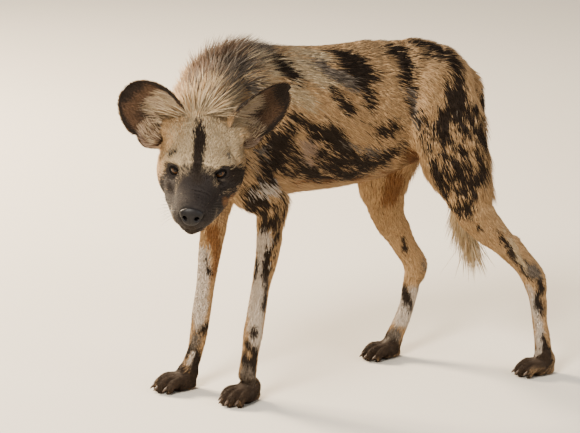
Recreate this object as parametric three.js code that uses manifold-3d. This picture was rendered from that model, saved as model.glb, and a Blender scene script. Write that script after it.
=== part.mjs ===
// An adult African wild dog, life size, standing on a level floor with its head lowered and turned to its left.
// Millimetres. The floor is z = 0, +Z is up, -Y is ahead of the dog and +X is on its left.
import * as THREE from 'three';
import { mergeVertices } from 'three/addons/utils/BufferGeometryUtils.js';
import Module from 'manifold-3d';

const wasm = await Module();
wasm.setup();

// Driving dimensions
const WITHERS = 650; // height of the coat over the shoulder blades
const SIZE = WITHERS / 650; // every length below is written for a dog 650 mm tall
const GAP = 0.3 * SIZE; // clearance where two parts meet
const CENTRE = [90, 33.4]; // how far left and ahead of the spine's origin the box of the dog is centred
const STANCE = 5; // height gained by standing on the toes' pads
const HEAD_YAW = 60; // degrees that the face turns to the dog's left
const HEAD_PITCH = -16; // degrees that the nose points below the horizontal
const HEAD_ROLL = 3.5; // degrees that the left eye sinks
const EYE_RADIUS = 12;
const EYE_SEAT = [-4, 37, 0]; // ahead, left and up of the bridge of the nose
const EYE_TURN = 26; // degrees that each eye looks outwards
const EAR_LENGTH = 120;
const EAR_HALF_WIDTH = 50;
const EAR_THICKNESS = 5;
const CLAW_LENGTH = 14;
const MANE_LENGTH = 64; // longest locks, along the top of the neck
const MANE_ROWS = 10;
const MANE_COLUMNS = 8;
const BRUSH_LENGTH = 118; // white locks at the end of the tail
const BREECHES_LENGTH = 46; // locks down the back of each thigh

const COLOURS = { black: 0x2a211c, tan: 0xc39a63, white: 0xd9cdbb, grey: 0x3c3531, amber: 0x6a3c12 };

// Frames: each turns (ahead, left, up) into the model's own axes
const DEGREE = Math.PI / 180;

function frameAt([ahead, left, up], yaw = 0, pitch = 0, roll = 0) {
  const body = new THREE.Matrix4().set(0, 1, 0, -CENTRE[0], -1, 0, 0, CENTRE[1], 0, 0, 1, STANCE, 0, 0, 0, 1);
  const turned = new THREE.Matrix4().makeRotationZ(yaw * DEGREE)
    .multiply(new THREE.Matrix4().makeRotationY(-pitch * DEGREE))
    .multiply(new THREE.Matrix4().makeRotationX(-roll * DEGREE));
  return new THREE.Matrix4().makeScale(SIZE, SIZE, SIZE).multiply(body)
    .multiply(new THREE.Matrix4().makeTranslation(ahead, left, up)).multiply(turned);
}

const BODY = frameAt([0, 0, 0]);
const HEAD = frameAt([376, 222, 492], HEAD_YAW, HEAD_PITCH, HEAD_ROLL);

// Masses: flesh and coat are runs of tapered, flattened capsules, melted into one another over a blend radius
const FAR = 1e3;
const masses = [];

// Adds one run through stations [ahead, left, up, radius, half width across].
function mass(frame, stations, { blend = 14, across = [0, 1, 0], carve = false } = {}) {
  const centres = stations.map(([a, l, u]) => new THREE.Vector3(a, l, u));
  const path = new THREE.CatmullRomCurve3(centres, false, 'centripetal');
  const steps = stations.length < 2 ? 1 : (stations.length - 1) * 4;
  const knots = [];
  for (let i = 0; i <= steps; i++) {
    const along = (i / steps) * (stations.length - 1);
    const low = Math.min(Math.floor(along), stations.length - 1);
    const high = Math.min(low + 1, stations.length - 1);
    const mix = (k) => THREE.MathUtils.lerp(stations[low][k] ?? stations[low][3],
      stations[high][k] ?? stations[high][3], THREE.MathUtils.smoothstep(along - low, 0, 1) * 0.5 + (along - low) * 0.5);
    const centre = (stations.length < 2 ? centres[0] : path.getPoint(along / (stations.length - 1)));
    knots.push({ centre: centre.clone().applyMatrix4(frame), radius: mix(3) * SIZE, width: mix(4) * SIZE });
  }
  const side = new THREE.Vector3(...(across ?? [0, 1, 0])).transformDirection(frame);
  const pieces = knots.slice(0, -1).map((from, i) => {
    const to = knots[i + 1];
    const run = to.centre.clone().sub(from.centre);
    const flat = across ? side.clone() : new THREE.Vector3().crossVectors(run, new THREE.Vector3(0, 0, 1)).normalize();
    return { from, to, run, flat, lengthSq: Math.max(run.lengthSq(), 1e-9) };
  });
  const reach = blend * SIZE + 2;
  const box = new THREE.Box3();
  for (const { centre, radius, width } of knots) {
    box.union(new THREE.Box3().setFromCenterAndSize(centre, new THREE.Vector3().setScalar(
      2 * (Math.max(radius, width) + reach))));
  }
  masses.push({ pieces, box, blend: blend * SIZE, carve });
}

// Distance from a point to one tapered capsule, negative inside.
function capsuleDistance({ from, to, run, flat, lengthSq }, x, y, z) {
  const px = x - from.centre.x, py = y - from.centre.y, pz = z - from.centre.z;
  const t = Math.min(1, Math.max(0, (px * run.x + py * run.y + pz * run.z) / lengthSq));
  const radius = from.radius + (to.radius - from.radius) * t;
  const squeeze = radius / (from.width + (to.width - from.width) * t) - 1;
  let qx = px - run.x * t, qy = py - run.y * t, qz = pz - run.z * t;
  const sideways = (qx * flat.x + qy * flat.y + qz * flat.z) * squeeze;
  qx += flat.x * sideways;
  qy += flat.y * sideways;
  qz += flat.z * sideways;
  const length = Math.sqrt(qx * qx + qy * qy + qz * qz) + 1e-9;
  const again = (qx * flat.x + qy * flat.y + qz * flat.z) * squeeze;
  qx += flat.x * again;
  qy += flat.y * again;
  qz += flat.z * again;
  const slope = Math.sqrt(qx * qx + qy * qy + qz * qz) / length;
  return (length - radius) / Math.max(slope, 0.2);
}

function massDistance({ pieces }, x, y, z) {
  let least = FAR;
  for (const piece of pieces) least = Math.min(least, capsuleDistance(piece, x, y, z));
  return least;
}

// The lesser of two distances, with a fillet of the blend radius where they are close.
function melt(a, b, blend) {
  const close = Math.max(blend - Math.abs(a - b), 0) / blend;
  return Math.min(a, b) - close * close * blend * 0.25;
}

function fieldAt(x, y, z) {
  let value = FAR;
  for (const m of masses) {
    const { min, max } = m.box;
    if (x < min.x || x > max.x || y < min.y || y > max.y || z < min.z || z > max.z) continue;
    const distance = massDistance(m, x, y, z);
    value = m.carve ? -melt(-value, distance, m.blend) : melt(value, distance, m.blend);
  }
  return value;
}

// Trunk: the ribcage and loin follow the back and belly lines, narrow from side to side
mass(BODY, [[-192, 0, 551, 92, 76], [-150, 0, 534, 119, 78], [-50, 0, 520, 137, 80], [30, 0, 516, 139, 86],
  [110, 0, 518, 141, 88], [175, 0, 518, 136, 84], [230, 0, 504, 112, 72]]);
mass(BODY, [[200, 0, 552, 84, 60], [240, 22, 552, 80, 60], [274, 58, 548, 74, 58], [304, 100, 544, 66, 56],
  [334, 140, 538, 56, 52]], { blend: 40, across: null });

// Legs: stations run from the hip or shoulder to the ankle, as each leg stands
const LEGS = {
  leg_front_left: [[212, 52, 560, 44, 26], [262, 66, 486, 50, 34], [214, 78, 424, 48, 32], [176, 84, 382, 34, 27],
    [172, 81, 331, 26, 23], [176, 75, 274, 22, 20], [186, 70, 220, 18.5, 17.5], [194, 65, 160, 19, 19.5],
    [198, 62, 130, 19.5, 21], [202, 58, 92, 17, 18.5], [207, 55, 50, 18, 20]],
  leg_front_right: [[212, -52, 560, 44, 26], [280, -66, 480, 50, 34], [238, -78, 420, 47, 32], [206, -84, 376, 34, 27],
    [212, -82, 320, 27, 24], [222, -81, 262, 23, 21], [234, -78, 190, 19, 18], [243, -77, 140, 19, 19.5],
    [248, -76, 108, 18, 19.5], [257, -74, 70, 16, 18], [271, -73, 34, 17, 19]],
  leg_hind_left: [[-205, 48, 556, 62, 34], [-204, 66, 500, 76, 40], [-206, 86, 440, 70, 38], [-227, 98, 384, 50, 31],
    [-240, 104, 336, 40, 26], [-268, 107, 298, 33, 23], [-306, 110, 260, 25, 20], [-350, 113, 212, 20.5, 17],
    [-372, 115, 176, 22, 17], [-380, 119, 140, 19, 16], [-382, 123, 100, 16, 15], [-386, 127, 66, 17, 17],
    [-388, 129, 36, 18, 19]],
  leg_hind_right: [[-205, -48, 556, 62, 34], [-186, -66, 500, 76, 40], [-168, -84, 440, 68, 38], [-155, -92, 380, 55, 32],
    [-154, -95, 330, 44, 27], [-164, -95, 282, 34, 23], [-190, -94, 232, 25, 19], [-214, -94, 190, 22, 17],
    [-220, -94, 168, 22, 17], [-215, -95, 138, 19, 16], [-207, -96, 100, 16.5, 15], [-196, -97, 68, 17, 17],
    [-182, -97, 40, 18, 19]],
};
for (const stations of Object.values(LEGS)) mass(BODY, stations, { blend: 26 });

// Points of elbow, stifle and hock, which stand out from the run of the leg
mass(BODY, [[156, 84, 388, 18, 15], [166, 84, 362, 17, 14]], { blend: 16 });
mass(BODY, [[186, -84, 384, 18, 15], [198, -84, 358, 17, 14]], { blend: 16 });
mass(BODY, [[-188, 98, 418, 26, 24], [-206, 100, 374, 22, 22]], { blend: 24 });
mass(BODY, [[-122, -90, 394, 26, 24], [-128, -93, 345, 24, 23]], { blend: 24 });
mass(BODY, [[-326, 110, 264, 10, 9], [-352, 111, 238, 7, 7], [-386, 115, 189, 9, 10], [-384, 117, 166, 12, 12]],
  { blend: 10 });
mass(BODY, [[-194, -94, 264, 10, 9], [-213, -94, 226, 7, 7], [-240, -94, 180, 9, 10], [-232, -94, 158, 12, 12]],
  { blend: 10 });

// Tail core, hanging behind the rump
const TAIL = [[-250, 0, 584, 24, 24], [-290, -5, 560, 20, 20], [-311, -16, 510, 18, 18], [-312, -28, 450, 17, 17],
  [-305, -40, 380, 16, 16], [-302, -46, 310, 14, 14], [-312, -45, 255, 9, 9]];
mass(BODY, TAIL, { blend: 16, across: null });

// Skull, cheeks and jaw
mass(HEAD, [[-100, 0, 14, 42, 42], [-66, 0, 16, 50, 55], [-32, 0, 4, 50, 57], [-4, 0, -8, 40, 46]], { blend: 30 });
mass(HEAD, [[0, 0, -22, 34, 42], [34, 0, -28, 29, 35], [70, 0, -33, 24, 31], [84, 0, -34, 20, 26]], { blend: 26 });
mass(HEAD, [[86, 0, -70, 9, 13], [66, 0, -72, 13, 24], [26, 0, -70, 17, 36], [-24, 0, -66, 24, 46],
  [-68, 0, -52, 34, 44]], { blend: 12 });
for (const side of [1, -1]) {
  mass(HEAD, [[-6, side * 47, -24, 18, 12], [-38, side * 60, -18, 24, 16], [-74, side * 54, -10, 27, 18]], { blend: 22 });
  mass(HEAD, [[-36, side * 48, -42, 30, 22], [-62, side * 44, -52, 28, 22]], { blend: 26 });
  mass(HEAD, [[90, side * 8, -50, 9, 8], [72, side * 25, -52, 12, 9], [40, side * 36, -53, 13, 9],
    [12, side * 46, -52, 12, 8]], { blend: 20 });
  mass(HEAD, [[-6, side * 20, 16, 12, 12], [-8, side * 36, 18, 8, 8], [-20, side * 50, 12, 9, 9]], { blend: 18 });
  mass(HEAD, [[-82, side * 42, 27, 25, 23], [-84, side * 54, 30, 18, 17]], { blend: 22 });
  mass(HEAD, [[EYE_SEAT[0] + 15, side * (EYE_SEAT[1] + 7), EYE_SEAT[2] + 1, 10, 12]], { blend: 12, carve: true });
  mass(HEAD, [[EYE_SEAT[0], side * EYE_SEAT[1], EYE_SEAT[2], EYE_RADIUS + 2, EYE_RADIUS + 2]], { blend: 5 });
}

// Paws: four toes round a palm, each with its claw
const PAWS = {
  leg_front_left: { at: [209, 50, -5], yaw: 18, scale: 1.1 },
  leg_front_right: { at: [288, -73, -5], yaw: 0, scale: 1.1 },
  leg_hind_left: { at: [-381, 130, -5], yaw: -6, scale: 1.04 },
  leg_hind_right: { at: [-162, -96, -5], yaw: 3, scale: 1.04 },
};
const TOES = [[30, 21, 8.5], [41, 7.5, 9], [41, -7.5, 9], [30, -21, 8.5]]; // reach, sideways, radius
for (const paw of Object.values(PAWS)) {
  paw.frame = frameAt(paw.at, paw.yaw).scale(new THREE.Vector3(paw.scale, paw.scale, paw.scale));
  mass(paw.frame, [[-12, 0, 26, 17, 20], [2, 0, 18, 16, 22], [14, 0, 14, 13, 22]], { blend: 12 });
  mass(paw.frame, [[-16, 0, 10, 11, 17], [4, 0, 8, 9, 21]], { blend: 8 });
  for (const [reach, sideways, radius] of TOES) {
    mass(paw.frame, [[8, sideways * 0.8, 20, radius, radius], [reach - 12, sideways, 19, radius, radius * 0.95],
      [reach - 2, sideways, 13, radius * 0.95, radius * 0.9], [reach, sideways, 8, radius * 0.85, radius * 0.85]],
    { blend: 5 });
  }
}

// Surfaces: the field is meshed with its marching tetrahedra, drawn onto it and then thinned
const CORNERS = Array.from({ length: 8 }, (_, c) => [c & 1, (c >> 1) & 1, (c >> 2) & 1]);

function netOver(box, step) {
  const bounds = { min: box.min.toArray(), max: box.max.toArray() };
  const cell = 4 * step;
  const known = new Map();
  const depth = ([x, y, z]) => {
    const [i, j, k] = [x, y, z].map((v) => Math.round(v / cell));
    const key = i + 4096 * (j + 4096 * k);
    if (!known.has(key)) known.set(key, fieldAt(i * cell, j * cell, k * cell));
    const near = known.get(key);
    return Math.abs(near) > 1.8 * cell ? -near : -fieldAt(x, y, z);
  };
  const shape = wasm.Manifold.levelSet(depth, bounds, step);
  return pointsOf(shape);
}

// Lets each point slide towards the mean of its neighbours and draws it back onto the field.
function relax({ points, triangles }, inner, rounds = 2) {
  const near = points.map(() => new Set());
  for (const [a, b, c] of triangles) {
    near[a].add(b).add(c);
    near[b].add(a).add(c);
    near[c].add(a).add(b);
  }
  const H = 0.4;
  for (let round = 0; round < rounds; round++) {
    const means = points.map((p, i) => {
      const mean = new THREE.Vector3();
      near[i].forEach((j) => mean.add(points[j]));
      return mean.divideScalar(near[i].size);
    });
    points.forEach((p, i) => {
      if (!inner.containsPoint(p)) return;
      p.lerp(means[i], 0.5);
      const value = fieldAt(p.x, p.y, p.z);
      const slope = new THREE.Vector3(fieldAt(p.x + H, p.y, p.z) - value, fieldAt(p.x, p.y + H, p.z) - value,
        fieldAt(p.x, p.y, p.z + H) - value).divideScalar(H);
      const fix = THREE.MathUtils.clamp(-value / Math.max(slope.lengthSq(), 0.3), -3, 3);
      p.addScaledVector(slope, fix);
    });
  }
}

// Thins a closed mesh to about `wanted` triangles by collapsing the edges whose loss shows least.
function thin({ points, triangles }, wanted) {
  let faces = triangles;
  const quadric = points.map(() => new Float64Array(10));
  const normalOf = (a, b, c) => new THREE.Vector3().crossVectors(b.clone().sub(a), c.clone().sub(a));
  for (const face of faces) {
    const normal = normalOf(...face.map((i) => points[i]));
    const area = normal.length();
    if (area < 1e-9) continue;
    normal.divideScalar(area);
    const plane = [normal.x, normal.y, normal.z, -normal.dot(points[face[0]])];
    let slot = 0;
    const terms = [];
    for (let i = 0; i < 4; i++) for (let j = i; j < 4; j++) terms.push(plane[i] * plane[j] * area);
    for (const i of face) for (slot = 0; slot < 10; slot++) quadric[i][slot] += terms[slot];
  }
  const errorAt = (q, { x, y, z }) => q[0] * x * x + 2 * q[1] * x * y + 2 * q[2] * x * z + 2 * q[3] * x + q[4] * y * y
    + 2 * q[5] * y * z + 2 * q[6] * y + q[7] * z * z + 2 * q[8] * z + q[9];
  for (let pass = 0; pass < 60 && faces.length > wanted; pass++) {
    const ring = points.map(() => []);
    faces.forEach((face, f) => face.forEach((i) => ring[i].push(f)));
    const edges = [];
    for (const face of faces) {
      for (let e = 0; e < 3; e++) {
        const [a, b] = [face[e], face[(e + 1) % 3]];
        if (a > b) continue;
        const q = quadric[a].map((v, s) => v + quadric[b][s]);
        const middle = points[a].clone().lerp(points[b], 0.5);
        const spot = [middle, points[a], points[b]].map((p) => [errorAt(q, p), p]).sort((s, t) => s[0] - t[0])[0];
        edges.push({ a, b, q, to: spot[1].clone(), cost: spot[0] + 1e-4 * points[a].distanceToSquared(points[b]) });
      }
    }
    edges.sort((s, t) => s.cost - t.cost);
    const limit = edges[Math.min(edges.length - 1, Math.floor(edges.length * 0.3))].cost;
    const busy = new Uint8Array(points.length);
    const dead = new Uint8Array(faces.length);
    let left = faces.length;
    for (const { a, b, q, to, cost } of edges) {
      if (left <= wanted || cost > limit) break;
      if (busy[a] || busy[b]) continue;
      const about = (i) => new Set(ring[i].flatMap((f) => faces[f]));
      const ringA = about(a), ringB = about(b);
      const shared = [...ringA].filter((i) => ringB.has(i) && i !== a && i !== b);
      if (shared.length !== 2) continue;
      if (shared.some((i) => ring[i].length < 4)) continue;
      const flips = [...ring[a], ...ring[b]].some((f) => {
        const face = faces[f];
        if (face.includes(a) && face.includes(b)) return false;
        const before = normalOf(...face.map((i) => points[i]));
        const after = normalOf(...face.map((i) => (i === a || i === b ? to : points[i])));
        return before.dot(after) < 0.35 * before.length() * after.length() || after.length() < 1e-6;
      });
      if (flips) continue;
      for (const f of [...ring[a], ...ring[b]]) {
        const face = faces[f];
        if (face.includes(a) && face.includes(b)) {
          if (!dead[f]) left--;
          dead[f] = 1;
        } else faces[f] = face.map((i) => (i === b ? a : i));
      }
      points[a].copy(to);
      quadric[a] = q;
      for (const i of [...ringA, ...ringB]) busy[i] = 1;
    }
    faces = faces.filter((_, f) => !dead[f]);
  }
  return { points, triangles: faces };
}

// Solids
function solid({ points, triangles }) {
  const vertProperties = new Float32Array(points.flatMap((p) => [p.x, p.y, p.z]));
  const mesh = new wasm.Mesh({ numProp: 3, vertProperties, triVerts: new Uint32Array(triangles.flat()) });
  const shape = new wasm.Manifold(mesh);
  return shape.volume() < 0 ? solid({ points, triangles: triangles.map(([a, b, c]) => [a, c, b]) }) : shape;
}

function solidOf(geometry) {
  const bare = geometry.clone().deleteAttribute('normal').deleteAttribute('uv');
  const merged = mergeVertices(bare, 1e-4);
  const points = [];
  for (let i = 0; i < merged.attributes.position.count; i++) {
    points.push(new THREE.Vector3().fromBufferAttribute(merged.attributes.position, i));
  }
  const triangles = [];
  for (let i = 0; i < merged.index.count; i += 3) triangles.push([0, 1, 2].map((k) => merged.index.getX(i + k)));
  return solid({ points, triangles: triangles.filter(([a, b, c]) => a !== b && b !== c && c !== a) });
}

const largest = (shape) => shape.decompose().sort((a, b) => b.volume() - a.volume())[0];
const union = (shapes) => wasm.Manifold.union(shapes);

// A box in the model's axes round two corners written ahead, left and up.
function boxBetween(low, high) {
  const corners = CORNERS.map((c) => new THREE.Vector3(...c.map((v, q) => (v ? high[q] : low[q]))).applyMatrix4(BODY));
  return new THREE.Box3().setFromPoints(corners);
}

// The dog's own surface inside a box, as points and about `wanted` triangles.
function fleshIn(low, high, step, wanted) {
  const box = boxBetween(low, high);
  const net = netOver(box, step * SIZE);
  relax(net, box.clone().expandByScalar(-2.5 * step * SIZE));
  return thin(net, wanted);
}

// The same points moved out along the surface's own normals.
function inflated({ points, triangles }, distance) {
  const normals = points.map(() => new THREE.Vector3());
  for (const face of triangles) {
    const [a, b, c] = face.map((i) => points[i]);
    const normal = new THREE.Vector3().crossVectors(b.clone().sub(a), c.clone().sub(a));
    for (const i of face) normals[i].add(normal);
  }
  return { points: points.map((p, i) => p.clone().addScaledVector(normals[i].normalize(), distance)), triangles };
}

function pointsOf(shape) {
  const { vertProperties, triVerts } = shape.getMesh();
  const points = [];
  for (let i = 0; i < vertProperties.length; i += 3) points.push(new THREE.Vector3().fromArray(vertProperties, i));
  const triangles = [];
  for (let i = 0; i < triVerts.length; i += 3) triangles.push([triVerts[i], triVerts[i + 1], triVerts[i + 2]]);
  return { points, triangles };
}

const thickened = (shape, distance) => inflated(pointsOf(shape), distance);

// What lies ahead of a plane (or behind it), standing half a gap off it.
function beyond(shape, frame, at, towards, clearance = GAP / 2) {
  const normal = new THREE.Vector3(...towards).transformDirection(frame);
  const offset = new THREE.Vector3(...at).applyMatrix4(frame).dot(normal);
  return shape.trimByPlane(normal.toArray(), offset + clearance);
}

// A bar along the dog whose outline is drawn from the front (left, up).
function bar(outline, low, high) {
  const geometry = new THREE.ExtrudeGeometry(new THREE.Shape(outline.map(([a, b]) => new THREE.Vector2(a, b))),
    { depth: high - low, bevelEnabled: false });
  const axes = new THREE.Matrix4().set(0, 0, 1, low, 1, 0, 0, 0, 0, 1, 0, 0, 0, 0, 0, 1);
  return solidOf(geometry.applyMatrix4(BODY.clone().multiply(axes)));
}

// A tapering spike through points in a frame; it is broad along `flat` and ends in a point.
function spike(frame, path, broad, thick, flat, sides = 5) {
  const centres = path.map((p) => (p.isVector3 ? p.clone() : new THREE.Vector3(...p)).applyMatrix4(frame));
  const across = (flat.isVector3 ? flat.clone() : new THREE.Vector3(...flat)).transformDirection(frame);
  const points = [];
  const triangles = [];
  for (let i = 0; i < centres.length - 1; i++) {
    const run = centres[i + 1].clone().sub(centres[Math.max(i - 1, 0)]).normalize();
    const side = across.clone().addScaledVector(run, -across.dot(run)).normalize();
    const out = new THREE.Vector3().crossVectors(run, side);
    for (let j = 0; j < sides; j++) {
      const angle = (j / sides) * 2 * Math.PI;
      points.push(centres[i].clone().addScaledVector(side, Math.cos(angle) * broad[i] * SIZE)
        .addScaledVector(out, Math.sin(angle) * thick[i] * SIZE));
    }
  }
  const tip = points.push(centres[centres.length - 1]) - 1;
  for (let j = 1; j < sides - 1; j++) triangles.push([0, j + 1, j]);
  for (let i = 0; i < centres.length - 1; i++) {
    for (let j = 0; j < sides; j++) {
      const [a, b] = [i * sides + j, i * sides + ((j + 1) % sides)];
      if (i === centres.length - 2) triangles.push([a, b, tip]);
      else triangles.push([a, b, b + sides], [a, b + sides, a + sides]);
    }
  }
  return solid({ points, triangles });
}

// Parts
const dog = new THREE.Group();
dog.name = 'african_wild_dog';

function add(name, shape, colour, shine = {}) {
  const { vertProperties, triVerts } = shape.getMesh();
  const geometry = new THREE.BufferGeometry();
  geometry.setAttribute('position', new THREE.BufferAttribute(new Float32Array(vertProperties), 3));
  geometry.setIndex(new THREE.BufferAttribute(new Uint32Array(triVerts), 1));
  const material = new THREE.MeshStandardMaterial({ color: COLOURS[colour], roughness: 0.85, metalness: 0, ...shine });
  const mesh = new THREE.Mesh(geometry, material);
  mesh.name = name;
  dog.add(mesh);
}

// The head is cut from the neck square to its own length. The neck is what lies ahead of the shoulders' slope or
// to the left of the chest
const HEAD_CUT = { at: [-84, 0, 0], towards: [1, 0, 0] };
const NECK_CUT = { at: [158, 0, 650], towards: [0.76, 0, 0.65] };
const THROAT_CUT = { at: [256, 126, 500], towards: [0.603, 0.798, 0] };
const TAIL_CUT = { at: [-283, 0, 560], towards: [-1, 0, 0] };
const back = ({ towards }) => towards.map((v) => -v);

// Each leg is cut from the trunk on a slope that passes below the chest and belly
const LEG_CUTS = {
  leg_front_left: { side: 1, outline: [[8, -20], [8, 345], [44, 352], [150, 436], [240, 436], [240, -20]], from: 110, to: 330 },
  leg_front_right: { side: -1, outline: [[8, -20], [8, 345], [44, 352], [150, 436], [240, 436], [240, -20]], from: 140, to: 420 },
  leg_hind_left: { side: 1, outline: [[8, -20], [8, 385], [40, 385], [150, 430], [240, 430], [240, -20]], from: -470, to: -100 },
  leg_hind_right: { side: -1, outline: [[8, -20], [8, 385], [40, 385], [150, 430], [240, 430], [240, -20]], from: -290, to: -60 },
};
const legBar = ({ side, outline, from, to }, rise, grow) => bar(outline.map(([l, u], i) => [
  side * (l - (i < 2 ? grow : 0)), u + (u > 0 ? rise : -grow)]), from - grow, to + grow);

function claws(frame) {
  return TOES.map(([reach, sideways]) => spike(frame,
    [[reach - 4, sideways, 13], [reach + 5, sideways, 12.5], [reach + CLAW_LENGTH * 0.75, sideways, 9],
      [reach + CLAW_LENGTH, sideways, 6]], [3.4, 3.1, 2.2], [3.8, 3.4, 2.4], [0, 1, 0]));
}

// Locks: each is a flat tapering spike rooted in the flesh, leaving along `outward` and laid over along `lie`
const UP = new THREE.Vector3(0, 0, 1);
let seed = 20;
function random() {
  seed = (seed * 16807) % 2147483647;
  return seed / 2147483647;
}

// Steps from a point inside the flesh to its surface.
function surfaceFrom(start, direction) {
  const at = start.clone();
  for (let i = 0; i < 90 && fieldAt(at.x, at.y, at.z) < 0; i++) at.addScaledVector(direction, 2 * SIZE);
  return at;
}

// A flat, tapered, bending lock: it rises from the coat by a share of its length and bends back along its lie.
function lock(root, outward, lie, { length, width, rise, sunk = 8 }) {
  const path = [0.3, 0.64, 1].map((t) => root.clone().addScaledVector(outward, length * rise * (t - 0.4 * t * t))
    .addScaledVector(lie, length * t));
  path.unshift(root.clone().addScaledVector(outward, -sunk).addScaledVector(lie, -0.1 * length));
  const flat = new THREE.Vector3().crossVectors(outward, lie).normalize();
  return spike(new THREE.Matrix4(), path, [0.42, 0.52, 0.4].map((share) => share * width),
    [0.17, 0.15, 0.1].map((share) => share * width), flat, 4);
}

const toModel = ([a, l, u]) => new THREE.Vector3(a, l, u).applyMatrix4(BODY);
const aheadOf = (point, frame, { at, towards }) => new THREE.Vector3(...towards).transformDirection(frame)
  .dot(point.clone().sub(new THREE.Vector3(...at).applyMatrix4(frame)));
const NAPE = new THREE.CatmullRomCurve3([[150, 0, 560], [200, 0, 552], [240, 22, 552], [274, 58, 548], [304, 98, 544],
  [326, 128, 540]].map(toModel));

// Mane: locks round the top and sides of the neck, tallest along its crest
function mane() {
  const locks = [];
  for (let row = 0; row < MANE_ROWS; row++) {
    for (let column = 0; column < MANE_COLUMNS; column++) {
      const t = (row + 0.3 * random() + 0.5 * (column % 2)) / MANE_ROWS;
      const angle = (-80 + (160 * column) / (MANE_COLUMNS - 1) + 8 * (random() - 0.5)) * DEGREE;
      const [centre, ahead] = [NAPE.getPoint(Math.min(t, 1)), NAPE.getTangent(Math.min(t, 1))];
      const side = new THREE.Vector3().crossVectors(UP, ahead).normalize();
      const outward = new THREE.Vector3(0, 0, Math.cos(angle)).addScaledVector(side, Math.sin(angle)).normalize();
      const crest = Math.cos(angle) ** 2;
      const lie = ahead.clone().negate().addScaledVector(UP, 0.25 * crest - 0.15).addScaledVector(outward, -0.1).normalize();
      const root = surfaceFrom(centre, outward);
      const height = crest * THREE.MathUtils.smoothstep(t, -0.1, 0.5);
      const size = { length: MANE_LENGTH * (0.5 + 0.35 * height + 0.25 * random()), width: 31 + 6 * random(),
        rise: 0.13 + 0.87 * height * (0.8 + 0.4 * random()) };
      const onNeck = Math.max(aheadOf(root, BODY, NECK_CUT), aheadOf(root, BODY, THROAT_CUT)) > 10
        && aheadOf(root, HEAD, HEAD_CUT) < -10;
      if (onNeck) locks.push(lock(root, outward, lie, size));
    }
  }
  return locks;
}

// Brush: locks round the lower half of the tail, hanging past its end
function brush() {
  const locks = [];
  const spine = new THREE.CatmullRomCurve3(TAIL.map(toModel));
  for (const [t, count, share] of [[0.42, 4, 0.55], [0.56, 5, 0.7], [0.7, 5, 0.8], [0.83, 5, 0.9], [0.95, 5, 1]]) {
    for (let i = 0; i < count; i++) {
      const angle = ((i + 0.4 * random() + 5 * t) / count) * 2 * Math.PI;
      const [centre, down] = [spine.getPoint(t), spine.getTangent(t)];
      const outward = new THREE.Vector3(Math.cos(angle), Math.sin(angle), 0);
      const lie = down.clone().add(new THREE.Vector3(0, 0.22, -0.6)).normalize();
      locks.push(lock(surfaceFrom(centre, outward), outward, lie,
        { length: BRUSH_LENGTH * share * (0.9 + 0.2 * random()), width: 21, rise: 0.16 + 0.08 * random(), sunk: 6 }));
    }
  }
  return locks;
}

// Breeches: two columns of locks down the back of a thigh, between two heights
function breeches(side, high, low, count) {
  return Array.from({ length: 2 * count }, (_, i) => {
    const t = Math.floor(i / 2) / (count - 1);
    const turn = side * (0.1 + 0.5 * (i % 2));
    const centre = toModel([-215 - 24 * t * t, side * (74 + 22 * t), THREE.MathUtils.lerp(high, low, t) - 9 * (i % 2)]);
    const outward = new THREE.Vector3(turn, 1, 0).normalize();
    const lie = new THREE.Vector3(0, 0.12, -1).normalize();
    return lock(surfaceFrom(centre, outward), outward, lie,
      { length: BREECHES_LENGTH * (0.85 + 0.3 * random()), width: 25, rise: 0.34 });
  });
}

const LEG_BOXES = {
  leg_front_left: [[90, -20, -12], [345, 150, 470]],
  leg_front_right: [[120, -150, -12], [435, 20, 470]],
  leg_hind_left: [[-485, 20, -12], [-80, 190, 470]],
  leg_hind_right: [[-305, -160, -12], [-40, 10, 470]],
};
for (const [name, cut] of Object.entries(LEG_CUTS)) {
  const [low, high] = LEG_BOXES[name];
  const flesh = solid(fleshIn(low, high, 5.2, 1150)).intersect(legBar(cut, 0, 0));
  const foot = union([largest(flesh), ...claws(PAWS[name].frame)]).trimByPlane([0, 0, 1], 0);
  add(name, largest(foot), name.endsWith('left') ? 'white' : 'tan');
}

const trunkFlesh = fleshIn([-330, -190, 330], [360, 190, 700], 11, 1950);
const legSpace = union(Object.values(LEG_CUTS).map((cut) => legBar(cut, GAP * 1.5, 1)));
let torso = beyond(beyond(solid(trunkFlesh), BODY, NECK_CUT.at, back(NECK_CUT)), BODY, TAIL_CUT.at, back(TAIL_CUT));
torso = union([beyond(torso, BODY, THROAT_CUT.at, back(THROAT_CUT)), ...breeches(1, 534, 448, 4), ...breeches(-1, 534, 462, 3)]);
torso = largest(torso.subtract(legSpace));
add('torso', torso, 'tan');

const neckFlesh = solid(fleshIn([130, -120, 360], [420, 250, 700], 8, 1000));
let neck = union([NECK_CUT, THROAT_CUT].map(({ at, towards }) => beyond(neckFlesh, BODY, at, towards)));
neck = beyond(neck, HEAD, HEAD_CUT.at, back(HEAD_CUT));
neck = largest(neck.subtract(legSpace));

const tailFlesh = solid(fleshIn([-370, -95, 200], [-255, 45, 640], 6, 420));
add('tail', largest(union([beyond(tailFlesh, BODY, TAIL_CUT.at, TAIL_CUT.towards), ...brush()])), 'white');

// Head with its eyes seated behind almond-shaped lids
const headFlesh = fleshIn([250, 90, 360], [530, 370, 640], 4, 3000);
let head = beyond(solid(headFlesh), HEAD, HEAD_CUT.at, HEAD_CUT.towards);
const NOSE_PAD = [[90, -8], [112, -8], [112, -50], [94, -50]]; // ahead and up

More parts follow.
